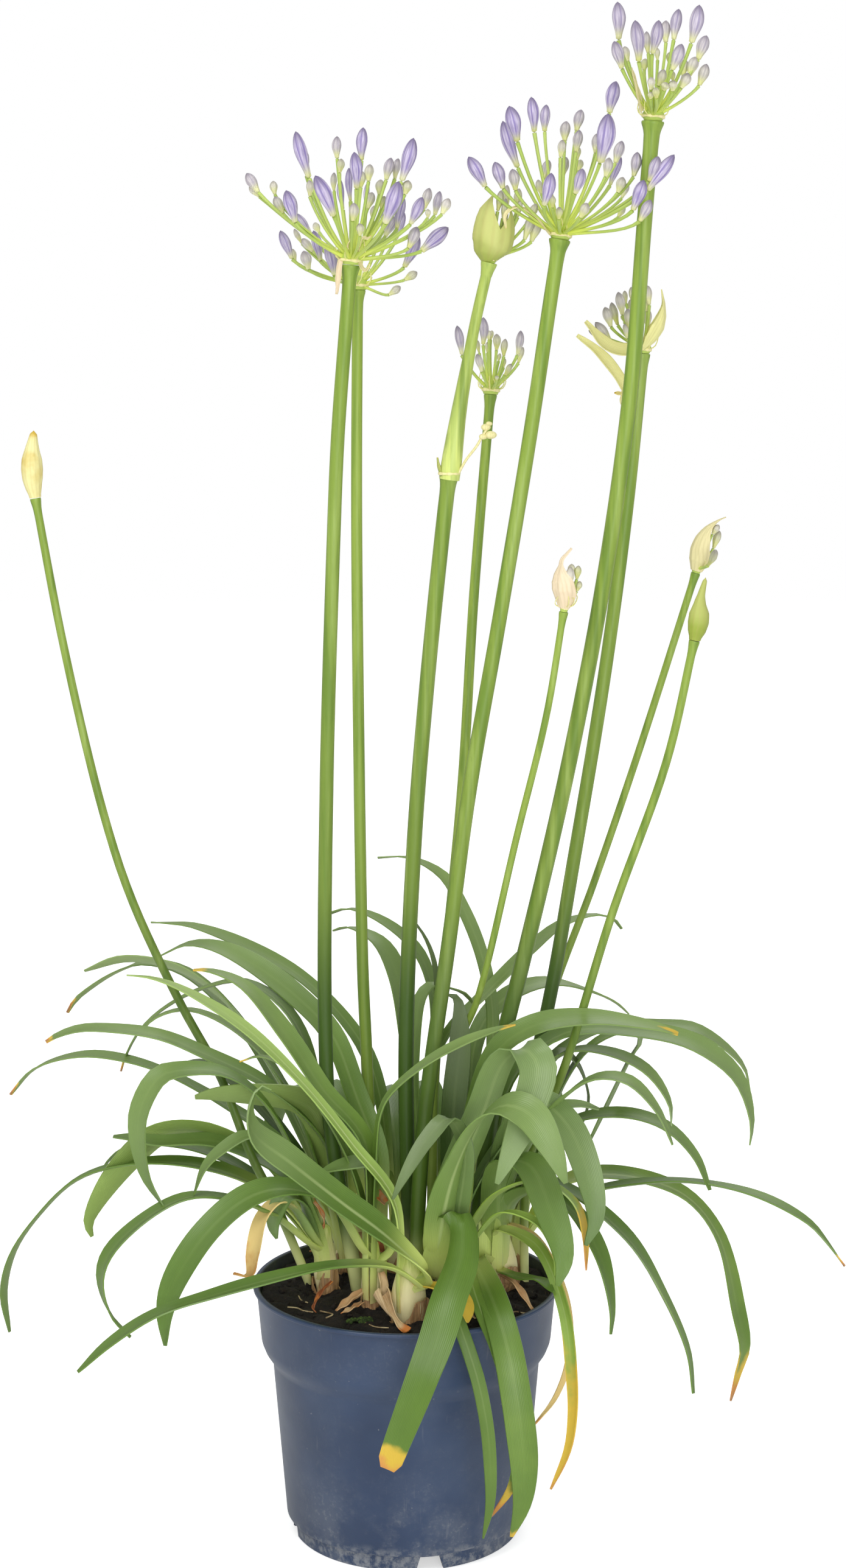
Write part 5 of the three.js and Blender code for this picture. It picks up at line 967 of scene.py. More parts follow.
def model_shoots(strap, shell):
    """One piece for each leafy shoot: its leaves, then its crowns and the sheaths round them."""
    by_piece = {}
    for name, at, girth, neck, leaves in SHOOTS:
        blades, crowns, sheaths = by_piece.setdefault(name, ([], [], []))
        blades += [model_leaf(strap, at, girth, leaf) for leaf in leaves]
        crowns.append(model_crown(name + " crown", at, girth, neck))
        sheaths += wrap_crown(shell, at, girth, neck)
    pieces = []
    for name, (blades, crowns, sheaths) in by_piece.items():
        piece = join(name + "_leaves", blades)
        piece.data.materials.append(leaf_face)
        piece.data.materials.append(leaf_underside)
        thicken(piece, BLADE_THICKNESS, 1)
        piece = join(name + "_leaves", [piece, *crowns, join_paper(name + " sheaths", sheaths, sheath_skin)])
        smooth(piece, 60)
        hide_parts(name)
        pieces.append(piece)
    return pieces


def model_bracts(strap, owner):
    """The papery bracts that grow from one piece, joined, or none."""
    bracts = [lay_blade(strap, width, turns, look, route, bract_width, BRACT_CURL, BRACT_RUFFLE,
        seed=random.random()) for name, width, turns, look, route in BRACTS if name == owner]
    return [join_paper(owner + " bracts", bracts, bract_paper)] if bracts else []


def model_valves(shell, owner):
    """The cupped valves of a bud case that has split open, joined, or none."""
    valves = []
    for name, look, facing, spreads, radii, rim, route in VALVES:
        if name == owner:
            tint, pinkness, *_ = LOOKS[look]
            valve = wrap(shell, facing, spreads, radii, route, (tint, pinkness, 0, 0), rim)
            merge_doubles(valve)
            valves.append(valve)
    return [join_paper(owner + " valves", valves, bract_paper)] if valves else []


# ---------- stems, umbels and bud cases ----------


def model_stem(name, foot, top, collar, route):
    """A fleshy stem that tapers up to a flared collar."""
    places, headings = smooth_route(route, SCAPE_RINGS)
    end, ahead = places[-1], headings[-1]
    rings = [place for place in places[:-1] if (end - place).length >= COLLAR_LENGTH]
    radii = [foot + (top - foot) * (step / (SCAPE_RINGS - 1)) for step in range(len(rings))]
    for back, flare in COLLAR_FLARE:
        rings.append(end - ahead * back)
        radii.append(top + (collar - top) * flare)
    return tube(name, rings, radii, STEM_ROUNDNESS)


def model_upper_tier(strap):
    """The young stem that grows on from the two-tier stem's ring, its swollen foot, and the ring's scraps."""
    stem = model_stem("upper tier", *UPPER_TIER)
    foot, _ = smooth_route(UPPER_TIER[3][:3], len(SWELLING_RADII))
    swelling = tube("swelling", foot, SWELLING_RADII, STEM_ROUNDNESS)
    for part in (stem, swelling):
        dress(part, stem_skin, [(1, 0.9 - 0.56 * ease(vertex.co.z, 0.662, 0.705), 0, 0)
            for vertex in part.data.vertices])
    return [stem, swelling, *node_scraps(strap)]


def node_scraps(strap):
    """What stands on the ring: two short horns, a thread with shrunken buds and a pale rim."""
    ring = Vector(NODE_RING)
    horns = []
    for turn in (1, -1):
        route = [ring + Vector((turn * x, y, z)) for x, y, z in NODE_HORN]
        horns.append(lay_blade(strap, NODE_HORN_WIDTH, (0, 0), "green case", route, bract_width, HORN_CURL,
            HORN_RUFFLE))
    horns = join_paper("node horns", horns, bract_paper)
    places, _ = smooth_route([ring + Vector(step) for step in NODE_THREAD], 16)
    thread = tube("node thread", places, [0.8] * 16, FINE_ROUNDNESS)
    rim = model_scar(ring + Vector((0, 0, 0.4)), Matrix.Identity(3), NODE_RIM)
    buds = [shrunken_bud(ring + Vector(step), size) for step, size in SHRUNKEN_BUDS]
    for part in (thread, *buds):
        dress(part, bract_paper, (0.12, 0.3, 0.05, 0))
    return [horns, thread, rim, *buds]


def shrunken_bud(place, size):
    bud = add_ball(16, 10)
    for vertex in bud.data.vertices:
        crease = 1 + 0.12 * math.cos(3 * bearing(vertex))
        local = Vector((vertex.co.x * 1.3 * crease, vertex.co.y * crease, vertex.co.z * 0.9))
        vertex.co = (place + local * size) * MM
    return bud


def model_scapes(strap):
    """One piece for each flower stem. The two-tier stem carries its upper tier too."""
    pieces = []
    for name, measures in SCAPES.items():
        stem = model_stem(name, *measures)
        dress(stem, stem_skin, (PALE_STEMS.get(name, MATURE_PALENESS), 0, 0, 0))
        upper = model_upper_tier(strap) if name == "scape_two_tier" else []
        piece = join(name + "_stem", [stem, *upper, *model_bracts(strap, name)])
        smooth(piece, 40)
        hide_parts(name)
        pieces.append(piece)
    return pieces


def stem_end(name):
    """Where a stem ends and the way it points there."""
    route = UPPER_TIER[3] if name == "scape_two_tier" else SCAPES[name][3]
    places, headings = smooth_route(route, SCAPE_RINGS)
    return places[-1], headings[-1]


def model_bud():
    """One closed flower bud of unit length: a tapered foot, a full body, a blunt tip and six faint ridges."""
    bud = add_ball(BUD_SEGMENTS, BUD_RINGS)
    bud.name = "bud"
    for vertex in bud.data.vertices:
        share = 0.35 * (1 + vertex.co.z) / 2 + 0.65 * polar_share(vertex)
        angle = bearing(vertex)
        body = 0.42 + 0.58 * ease(share, 0.02, 0.60)
        blunt = max(0, 1 - (max(0, share - 0.58) / 0.42) ** 2.1) ** 0.74
        start = min(1, share * 30)
        radius = body * blunt * start * (1 + 0.05 * math.cos(6 * angle) * ease(share, 0.1, 0.4))
        vertex.co = Vector((radius * math.cos(angle), radius * math.sin(angle), share))
    return bud


def model_receptacle(centre, upright, radius):
    """The low dome on a stem's end that the pedicels grow from."""
    dome = add_ball(24, 12)
    for vertex in dome.data.vertices:
        local = Vector((vertex.co.x, vertex.co.y, 0)) * radius
        local.z = vertex.co.z * radius * 0.9
        if vertex.co.z < 0:
            if local.xy.length > 0.1:
                local.xy *= radius / local.xy.length * (1 + 0.2 * vertex.co.z)
            local.z = vertex.co.z * (RECEPTACLE_HEIGHT - 0.1)
        vertex.co = (centre + upright @ local) * MM
    return dress(dome, pedicel_skin, (0.6, 0, 0, 0))


def model_scar(end, upright, collar):
    """The thin, torn, cream rim that the fallen bracts leave round the stem's end."""
    deselect_all()
    bpy.ops.mesh.primitive_torus_add(major_segments=40, minor_segments=8, major_radius=1, minor_radius=0.1)
    rim = bpy.context.object
    for vertex in rim.data.vertices:
        angle = bearing(vertex)
        torn = 0.5 * noise.noise(Vector((math.cos(angle), math.sin(angle), end.x)) * 2.2)
        local = Vector((vertex.co.x, vertex.co.y, 0)) * (collar * 0.98)
        local.z = 0.2 + vertex.co.z * (9 + 12 * torn)
        vertex.co = (end + upright @ local) * MM
    return dress(rim, bract_paper, (0, 0.25, 0.05, 0))


def model_pedicel(centre, end, lean, bud_length):
    """A pedicel that leaves the umbel's centre flatter than it goes on, and turns into its bud's own line."""
    span = (end - centre).length
    out = (end - centre).normalized()
    leave = centre + Vector((out.x, out.y, out.z * 0.55)).normalized() * span * 0.36
    arrive = end - (lean + out).normalized() * span * 0.22
    shares = [step / (PEDICEL_RINGS - 1) for step in range(PEDICEL_RINGS)]
    route = [centre * (1 - t) ** 3 + leave * (3 * t * (1 - t) ** 2) + arrive * (3 * t * t * (1 - t))
        + end * t ** 3 for t in shares]
    slim = 0.75 + 0.25 * min(1, bud_length / 20)
    radii = [slim * (1.4 - 0.38 * ease(t, 0, 0.4) + 0.22 * ease(t, 0.82, 1)) for t in shares]
    pedicel = tube("pedicel", route, radii, FINE_ROUNDNESS)
    chance = random.random()
    return dress(pedicel, pedicel_skin, [((vertex.co / MM - centre).length / span, chance, 0, 0)
        for vertex in pedicel.data.vertices])


def lay_bud(master, foot, lean, length, girth, ripeness):
    """A copy of the bud on its pedicel's end, spun by chance and slightly bowed. Short buds are greener."""
    bud = copy_of(master)
    turned = lean.to_track_quat("Z", "Y").to_matrix()
    spin = Matrix.Rotation(random.random() * math.pi, 3, "Z")
    for vertex in bud.data.vertices:
        local = spin @ Vector((vertex.co.x * girth, vertex.co.y * girth, vertex.co.z * length))
        bow = 0.03 * length * math.sin(math.pi * vertex.co.z)
        vertex.co = (foot + turned @ (local + Vector((bow, 0, 0)))) * MM
    return dress(bud, bud_petals, (ripeness * ease(length, GREEN_LENGTH, RIPE_LENGTH), random.random(), 0, 0))


def model_threads(centre, radius, axis):
    """Curled papery threads among the feet of the pedicels, fewer on a small umbel."""
    threads = []
    for _ in range(10 if radius > 5 else 4):
        angle = random.random() * 2 * math.pi
        out = Vector((math.cos(angle), math.sin(angle), 0))
        side = Vector((-out.y, out.x, 0)) * (random.random() - 0.5)
        foot = centre + out * radius * 0.8
        route = [foot, foot + out * 3 + axis,
            foot + out * 4.5 + side * 3 + axis * (3 + 3 * random.random()),
            foot + out * 3.5 + side * 6 + axis * (5 + 6 * random.random())]
        places, _ = smooth_route(route, len(THREAD_RADII))
        threads.append(tube("thread", places, THREAD_RADII, THREAD_ROUNDNESS))
    return dress(join("threads", threads), bract_paper, (0.1, 0, 0.15, 0))


def model_umbel(strap, shell, master, name):
    stem, radius, ripeness, buds = UMBELS[name]
    end, axis = stem_end(stem)
    centre = end + axis * RECEPTACLE_HEIGHT
    upright = axis.to_track_quat("Z", "Y").to_matrix()
    parts = [model_receptacle(centre, upright, radius), model_scar(centre - axis * 0.5, upright, radius)]
    for x, y, z, tip_x, tip_y, tip_z, girth in buds:
        foot = centre + Vector((x, y, z))
        tip = centre + Vector((tip_x, tip_y, tip_z))
        length = (tip - foot).length
        lean = (tip - foot).normalized()
        parts.append(model_pedicel(centre, foot, lean, length))
        parts.append(lay_bud(master, foot, lean, length, girth, ripeness))
    parts.append(model_threads(centre, radius, axis))
    piece = join(name + "_buds", parts + model_bracts(strap, name) + model_valves(shell, name))
    smooth(piece, 60)
    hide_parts(name)
    return piece


def model_bud_case(name):
    """A bud case still shut: two papery valves that meet in a beak."""
    stem, radii, look_name, route = BUD_CASES[name]
    end, axis = stem_end(stem)
    foot = end + axis * GAP
    places, headings = smooth_route([foot + Vector(step) for step in route], CASE_RINGS + 1)
    look = LOOKS[look_name]
    case = add_ball(32, CASE_RINGS)
    looks = []
    for vertex in case.data.vertices:
        share = polar_share(vertex)
        angle = bearing(vertex)
        row = round(share * CASE_RINGS)
        # The first ring lies level with the pole, so that the foot is flat
        row = 0 if row == 1 else row
        side, other = square_to(headings[row])
        seam = 0.06 * math.exp(-(math.sin(angle) / 0.12) ** 2)
        pole = min(1, math.hypot(vertex.co.x, vertex.co.y) * (13 if share < 0.5 else 6))
        radius = along(radii, share) * pole * (1 + seam + 0.02 * math.cos(9 * angle))
        vertex.co = (places[row] + (side * math.cos(angle) + other * math.sin(angle) * 0.93) * radius) * MM
        looks.append((look[0], look[1], dryness(look, share, 0, 0.3), 0))
    dress(case, bract_paper, looks)
    case.name = name + "_paper"
    smooth(case, 60)
    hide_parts(name)
    return case


# ---------- pot, soil and what lies on it ----------


def notch_cutter(angle):
    """A block that cuts one drain notch through the foot ring, wider at its foot."""
    deselect_all()
    bpy.ops.mesh.primitive_cube_add(size=1)
    cutter = bpy.context.object
    near, far = NOTCH_REACH
    for vertex in cutter.data.vertices:
        width, height = NOTCH_TOP if vertex.co.z > 0 else NOTCH_FOOT
        vertex.co = Vector((near + (far - near) * (vertex.co.x + 0.5), vertex.co.y * width, height)) * MM
    cutter.data.transform(Matrix.Rotation(math.radians(angle), 4, "Z"))
    return cutter


def model_pot():
    """The pot's wall, lip and notched foot ring. Inside the foot ring it is open: it has no floor."""
    pot = turn_round("nursery_pot", POT_SEGMENTS, POT_PROFILE)
    cutter = join("notch cutters", [notch_cutter(angle) for angle in NOTCH_ANGLES])
    apply_modifier(pot, "BOOLEAN", operation="DIFFERENCE", solver="EXACT", object=cutter)
    remove(cutter)
    pot.data.materials.append(pot_plastic)
    pot.data.materials.append(pot_inside)
    for face in pot.data.polygons:
        if face.center.z > INSIDE_Z * MM and face.normal.xy.dot(face.center.xy.normalized()) < -0.3:
            face.material_index = 1
    smooth(pot, 32)
    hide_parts("pot")
    return pot


def soil_height(x, y):
    """The soil's surface: a low mound with lumps and hollows."""
    mound = SOIL_MOUND * (1 - (x * x + y * y) / MOUND_RADIUS ** 2)
    lumps = 0.9 * math.sin(0.23 * x + 1) * math.cos(0.19 * y) + 0.7 * math.sin(0.41 * y + 0.31 * x)
    return SOIL_EDGE_Z + mound + lumps


def model_soil():
    """A disc of lumpy soil whose rim is drawn down the pot's inner wall and closed at its foot."""
    deselect_all()
    bpy.ops.mesh.primitive_grid_add(x_subdivisions=SOIL_CELLS, y_subdivisions=SOIL_CELLS, size=2)
    soil = bpy.context.object
    soil.name = "potting_soil"
    for vertex in soil.data.vertices:
        x, y = vertex.co.x, vertex.co.y
        x, y = x * math.sqrt(1 - y * y / 2) * SOIL_RADIUS, y * math.sqrt(1 - x * x / 2) * SOIL_RADIUS
        rough = 1.3 * noise.noise(Vector((x, y, 3)) * 0.16) + 0.9 * noise.noise(Vector((x, y, 9)) * 0.45)
        edge = 1 - ease(math.hypot(x, y), 82, 89)
        vertex.co = Vector((x, y, soil_height(x, y) + rough * edge - 0.2)) * MM
    bpy.ops.object.mode_set(mode="EDIT")
    select_open_rings()
    draw_rings((SOIL_RADIUS, SOIL_EDGE_Z), SOIL_WALL)
    fill_open_rings()
    smooth(soil, 35)
    return dress(soil, soil_mix, (0.5, 0, 0, 0))


def model_crumbs():
    """Crumbs of bark and peat on the soil, each a dented ball with its own mesh."""
    master = add_lump(1)
    crumbs = []
    for _ in range(SOIL_CRUMBS):
        away = CRUMB_REACH * math.sqrt(random.random())
        angle = random.random() * 2 * math.pi
        x, y = away * math.cos(angle), away * math.sin(angle)
        size = 0.5 + 1.9 * random.random() ** 2.5
        spin = random.random() * 6.3
        axis = Vector((random.random(), random.random(), 0.4)).normalized()
        turn = Matrix.Rotation(spin, 3, axis)
        stretch = Vector((1 + 0.9 * random.random(), 1, 0.55))
        seed = random.random() * 50
        crumb = copy_of(master)
        for vertex in crumb.data.vertices:
            local = Vector([a * b for a, b in zip(vertex.co, stretch)]) * size
            local *= 1 + 0.35 * noise.noise(vertex.co * 1.7 + Vector((seed, 0, 0)))
            vertex.co = (Vector((x, y, soil_height(x, y) + 0.25 * size)) + turn @ local) * MM
        write_look(crumb, (random.random(), 0, 0, 0))
        crumbs.append(crumb)
    remove(master)
    crumbs = join("crumbs", crumbs)
    crumbs.data.materials.append(soil_mix)
    return crumbs


def model_scraps(strap):
    """Dry sheaths and old leaf feet on the soil."""
    scraps = []
    for width, look, curl, route in SCRAPS:
        turns = (75, 70) if look == "rust" else (0, 12)
        shape = funnel_width if look == "funnel" else bract_width
        scraps.append(lay_blade(strap, width, turns, look, route, shape, curl, SCRAP_RUFFLE,
            seed=random.random()))
    return join_paper("dry_sheath_scraps", scraps, dry_sheath)


def model_roots():
    """Fine roots that lie on the soil."""
    roots = []
    for radius, plan in ROOTS:
        places, _ = smooth_route([(x, y, soil_height(x, y) + 0.5) for x, y in plan], ROOT_RINGS)
        roots.append(tube("root", places, [radius] * ROOT_RINGS, FINE_ROUNDNESS))
    return dress(join("surface_roots", roots), root_skin, (0.5, 0, 0, 0))


def model_moss():
    """A small cushion of moss near the pot's wall."""
    tufts = []
    for _ in range(MOSS_TUFTS):
        angle = random.random() * 2 * math.pi
        away = MOSS_REACH * random.random()
        x = MOSS_PLACE[0] + away * 1.3 * math.cos(angle)
        y = MOSS_PLACE[1] + away * 0.8 * math.sin(angle)
        size = 0.6 + 0.8 * random.random()
        tuft = add_lump(2)
        for vertex in tuft.data.vertices:
            bump = 1 + 0.35 * noise.noise(vertex.co * 2.6 + Vector((x, y, 0)))
            vertex.co = (Vector((x, y, soil_height(x, y) + 2.2 - 0.3 * away)) + vertex.co * size * bump) * MM
        write_look(tuft, (random.random(), 0, 0, 0))
        tufts.append(tuft)
    moss = join("moss_cushion", tufts)
    moss.data.materials.append(moss_green)
    return moss


# ---------- shader building blocks ----------


def srgb(red, green, blue):
    """A colour in everyday 0 to 255 numbers, as linear light."""
    light = [((c / 255 + 0.055) / 1.055) ** 2.4 if c > 10 else c / 3294.6 for c in (red, green, blue)]
    return (*light, 1)


def set_socket(tree, socket, value):
    """Gives an input a plain value, or links it to a socket to take it from."""
    if isinstance(value, bpy.types.NodeSocket):
        tree.links.new(value, socket)
    else:
        socket.default_value = value


def node(tree, kind, inputs=None, **settings):
    """A new node with its settings and inputs."""
    made = tree.nodes.new("ShaderNode" + kind)
    for key, value in settings.items():
        setattr(made, key, value)
    for key, value in (inputs or {}).items():
        set_socket(tree, made.inputs[key], value)
    return made


def blend(tree, share, under, over, way="MIX"):
    return node(tree, "Mix", {0: share, 6: under, 7: over}, data_type="RGBA", blend_type=way).outputs[2]


def calc(tree, operation, *values, clamp=False):
    return node(tree, "Math", dict(enumerate(values)), operation=operation, use_clamp=clamp).outputs[0]


def times(tree, first, second, clamp=False):
    return calc(tree, "MULTIPLY", first, second, clamp=clamp)


def tinge(tree, base, colour, mask, most=1):
    """The base colour, taken towards another by a mask and at most by a share."""
    return blend(tree, times(tree, mask, most), base, colour)


def fade(tree, value, low, high):
    """0 below low, 1 above high and smooth between. With low above high it falls instead."""
    return node(tree, "MapRange", {"Value": value, "From Min": low, "From Max": high},
        interpolation_type="SMOOTHSTEP").outputs["Result"]


def object_place(tree):
    return node(tree, "TexCoord").outputs["Object"]


def object_height(tree):
    return node(tree, "SeparateXYZ", {0: object_place(tree)}).outputs["Z"]


def blade_place(tree):
    """The place on a blade or bud, from its UV map: X across or around, and Y along."""
    return node(tree, "SeparateXYZ", {0: node(tree, "UVMap").outputs[0]}).outputs


def mottle(tree, scale, detail=3, roughness=0.55, vector=None, distortion=0):
    return node(tree, "TexNoise", {"Vector": vector or object_place(tree), "Scale": scale, "Detail": detail,
        "Roughness": roughness, "Distortion": distortion}).outputs[0]


def streaks(tree, scale, detail, roughness, rotation=(0, 0, 0)):
    """Noise drawn out by an uneven scale."""
    drawn = node(tree, "Mapping", {"Vector": object_place(tree), "Rotation": rotation, "Scale": scale})
    return mottle(tree, 1, detail, roughness, drawn.outputs[0])


def start_group(name, inputs, outputs):
    tree = bpy.data.node_groups.new(name, "ShaderNodeTree")
    for socket, value in inputs.items():
        made = tree.interface.new_socket(socket, in_out="INPUT", socket_type="NodeSocketFloat")
        made.default_value = value
    for socket in outputs:
        tree.interface.new_socket(socket, in_out="OUTPUT", socket_type="NodeSocketFloat")
    given = tree.nodes.new("NodeGroupInput").outputs
    return tree, given, tree.nodes.new("NodeGroupOutput").inputs


def use_group(tree, group, **values):
    made = tree.nodes.new("ShaderNodeGroup")
    made.node_tree = group
    for key, value in values.items():
        set_socket(tree, made.inputs[key.replace("_", " ")], value)
    return made.outputs


def build_veins():
    """Fine lines that run the length of a blade, its pale midrib, and the place along the blade."""
    tree, given, results = start_group("long veins", {"Count": 18, "Waver": 0.4}, ("Veins", "Rib", "Share"))
    place = blade_place(tree)
    across = times(tree, place["X"], given["Count"])
    long = node(tree, "CombineXYZ", {"X": across, "Y": times(tree, place["Y"], 5)}).outputs[0]
    rough = mottle(tree, 1, 2, 0.6, long)
    turns = calc(tree, "ADD", across, times(tree, rough, given["Waver"]))
    wave = calc(tree, "SINE", times(tree, turns, 2 * math.pi))
    lines = calc(tree, "MULTIPLY_ADD", wave, 0.3, 0.5)
    veins = calc(tree, "ADD", times(tree, lines, 0.6), times(tree, rough, 0.4))
    off_middle = calc(tree, "ABSOLUTE", calc(tree, "SUBTRACT", place["X"], 0.5))
    rib = times(tree, fade(tree, off_middle, 0.09, 0.015), fade(tree, place["Y"], 0.9, 0.35))
    for name, value in (("Veins", veins), ("Rib", rib), ("Share", place["Y"])):
        tree.links.new(value, results[name])
    return tree


def build_dust():
    """Pale dust and scuffs that gather low down: a mask."""
    tree, given, results = start_group("dust", {"From Height": 0, "To Height": 0.1, "Amount": 0.5}, ("Mask",))
    low = fade(tree, object_height(tree), given["To Height"], given["From Height"])
    cloud = fade(tree, mottle(tree, 28, 5, 0.65), 0.42, 0.68)
    grit = fade(tree, mottle(tree, 420, 2, 0.6), 0.5, 0.72)
    scuffs = fade(tree, streaks(tree, (420, 420, 22), 2, 0.5, (0.3, 0.5, 0.2)), 0.66, 0.78)
    patches = times(tree, cloud, calc(tree, "MULTIPLY_ADD", grit, 0.6, 0.4))
    lows = times(tree, calc(tree, "MULTIPLY_ADD", low, 0.85, 0.15), patches)
    marks = calc(tree, "MULTIPLY_ADD", scuffs, 0.22, lows)
    tree.links.new(times(tree, marks, given["Amount"], clamp=True), results["Mask"])
    return tree


def start_material(name):
    material = bpy.data.materials.new(name)
    material.use_nodes = True
    tree = material.node_tree
    attribute = node(tree, "Attribute", attribute_name="look")
    numbers = node(tree, "SeparateColor", {0: attribute.outputs["Color"]}).outputs
    look = [numbers["Red"], numbers["Green"], numbers["Blue"], attribute.outputs["Alpha"]]
    return material, tree, tree.nodes["Principled BSDF"], look


def finish_material(tree, skin, colour, roughness, relief=None):
    """Sets colour and roughness. The relief is a height, its depth in metres and its strength."""
    set_socket(tree, skin.inputs["Base Color"], colour)
    set_socket(tree, skin.inputs["Roughness"], roughness)
    if relief:
        height, depth, strength = relief
        bump = node(tree, "Bump", {"Height": height, "Distance": depth, "Strength": strength})
        tree.links.new(bump.outputs[0], skin.inputs["Normal"])


def dry_off(tree, fresh, dry, straw=0):
    """Takes a fresh colour through yellow and tan to pale brown as it dries."""
    uneven = calc(tree, "SUBTRACT", mottle(tree, 90, 3), 0.5)
    patches = calc(tree, "MULTIPLY_ADD", uneven, 0.35, dry)
    shown = times(tree, fade(tree, dry, 0.02, 0.15), patches)
    gold = blend(tree, straw, srgb(206, 174, 58), srgb(230, 202, 134))
    yellow = blend(tree, fade(tree, shown, 0.12, 0.36), fresh, gold)
    tan = blend(tree, fade(tree, shown, 0.50, 0.70), yellow, srgb(202, 140, 70))
    return blend(tree, fade(tree, shown, 0.72, 0.92), tan, srgb(172, 128, 88))


# ---------- materials ----------


def make_leaf(name, veins, deep, middle, light, shine, paler):
    """A leaf's face: green by its tint, pale at its midrib, limy and papery at its foot, with painted sheen
    above. The limy foot is painted paler still, as painted light in the shaded crown.
    """
    material, tree, skin, (tint, grey, dry, rib) = start_material(name)
    lines = use_group(tree, veins, Count=19, Waver=0.5)
    along_blade, height = lines["Share"], object_height(tree)
    wide = calc(tree, "SUBTRACT", mottle(tree, 22, 3, 0.6), 0.5)
    shade = calc(tree, "MULTIPLY_ADD", wide, 0.45, tint, clamp=True)
    green = blend(tree, fade(tree, shade, 0, 0.5), deep, middle)
    green = blend(tree, fade(tree, shade, 0.45, 1), green, light)
    # Greyness takes the green towards grey-green: the leaf's own grey tone, and painted sheen on a leaf that
    # stands in the light.
    green = tinge(tree, green, srgb(130, 154, 106), grey, 0.6)
    # The limy leaf feet are painted paler than they are: painted light for the light that shines through into
    # the shaded crown.
    foot = times(tree, fade(tree, along_blade, 0.32, 0.05), fade(tree, height, 0.275, 0.190))
    green = blend(tree, foot, green, srgb(218, 232, 132))
    root = times(tree, fade(tree, along_blade, 0.30, 0.06), fade(tree, height, 0.188, 0.150))
    papery = blend(tree, fade(tree, lines["Veins"], 0.42, 0.66), srgb(234, 218, 160), srgb(188, 146, 98))
    green = blend(tree, root, green, papery)
    streak = calc(tree, "MULTIPLY_ADD", lines["Veins"], 0.34, 0.83)
    veined = node(tree, "CombineColor", {0: streak, 1: streak, 2: streak}).outputs[0]
    green = blend(tree, 1, green, veined, "MULTIPLY")
    # Painted sheen: the upper, outer parts of the blades go paler and greyer, as if lit from above.
    painted_sheen = times(tree, fade(tree, along_blade, 0.35, 0.85), fade(tree, height, 0.20, 0.28))
    green = tinge(tree, green, srgb(164, 182, 126), painted_sheen, 0.26)
    green = tinge(tree, green, srgb(188, 204, 140), lines["Rib"], rib)
    green = blend(tree, paler, green, srgb(140, 166, 92))
    rough = calc(tree, "MULTIPLY_ADD", fade(tree, dry, 0.1, 0.6), 0.3, shine)
    skin.inputs["Specular IOR Level"].default_value = 0.42
    finish_material(tree, skin, dry_off(tree, green, dry, grey), rough, (lines["Veins"], 0.00025, 0.55))
    return material


def make_sheath_skin():
    """The pale, leek-like foot of a shoot: lime above, whitish below, with a papery brown foot. Its lime and
    white are painted paler still, as painted light in the shaded crown.
    """
    material, tree, skin, (paperiness, *_) = start_material("sheath_skin")
    lines = streaks(tree, (900, 900, 22), 3, 0.6)
    uneven = calc(tree, "MULTIPLY_ADD", mottle(tree, 70, 3), 0.02, object_height(tree))
    # The lime and white are painted paler than the crown is: painted light for the light that shines through
    # into the shaded crown.
    lime = blend(tree, fade(tree, lines, 0.3, 0.7), srgb(186, 208, 90), srgb(222, 234, 136))
    white = blend(tree, fade(tree, uneven, 0.212, 0.180), lime, srgb(236, 226, 172))
    brown = blend(tree, fade(tree, lines, 0.3, 0.7), srgb(122, 80, 46), srgb(206, 166, 118))
    papery = times(tree, fade(tree, paperiness, 0.6, 0.9), fade(tree, lines, 0.2, 0.45))
    low = calc(tree, "MAXIMUM", fade(tree, uneven, 0.176, 0.150), papery)
    finish_material(tree, skin, blend(tree, low, white, brown), 0.55, (lines, 0.0004, 0.6))
    return material


def make_stem_skin():
    """Flower stems: yellow-green above, deeper green towards the foot, painted shade where mature stems run
    down among the leaves, and soft lengthwise stripes.
    """
    material, tree, skin, (pale, young, *_) = start_material("stem_skin")
    height = object_height(tree)
    lines = streaks(tree, (700, 700, 9), 3, 0.6)
    stripes = streaks(tree, (190, 190, 2.5), 1, 0.5)
    green = blend(tree, fade(tree, height, 0.15, 0.80), srgb(70, 98, 28), srgb(128, 154, 60))
    green = tinge(tree, green, srgb(156, 180, 76), pale, 0.7)
    green = tinge(tree, green, srgb(218, 230, 132), young, 0.95)
    green = tinge(tree, green, srgb(92, 126, 40), fade(tree, stripes, 0.50, 0.66), 0.55)
    green = tinge(tree, green, srgb(164, 186, 98), fade(tree, stripes, 0.46, 0.32), 0.4)
    green = tinge(tree, green, srgb(92, 120, 46), fade(tree, lines, 0.45, 0.75), 0.3)
    # Painted shade: mature stems darken where they run down among the leaves.
    old = calc(tree, "MULTIPLY_ADD", pale, -1.3, 1.3, clamp=True)
    green = tinge(tree, green, srgb(56, 84, 26), fade(tree, height, 0.42, 0.33), old)
    green = blend(tree, fade(tree, height, 0.205, 0.165), green, srgb(214, 220, 150))
    skin.inputs["Specular IOR Level"].default_value = 0.35
    finish_material(tree, skin, green, 0.42, (lines, 0.0002, 0.5))
    return material


def make_pedicel_skin():
    """Pedicels: yellow-green at the foot, greener towards the bud."""
    material, tree, skin, (share, chance, *_) = start_material("pedicel_skin")
    green = blend(tree, fade(tree, share, 0.05, 0.75), srgb(216, 228, 92), srgb(170, 194, 92))
    green = tinge(tree, green, srgb(196, 212, 118), chance, 0.5)
    finish_material(tree, skin, green, 0.45, (mottle(tree, 900, 2), 0.0001, 0.4))
    return material


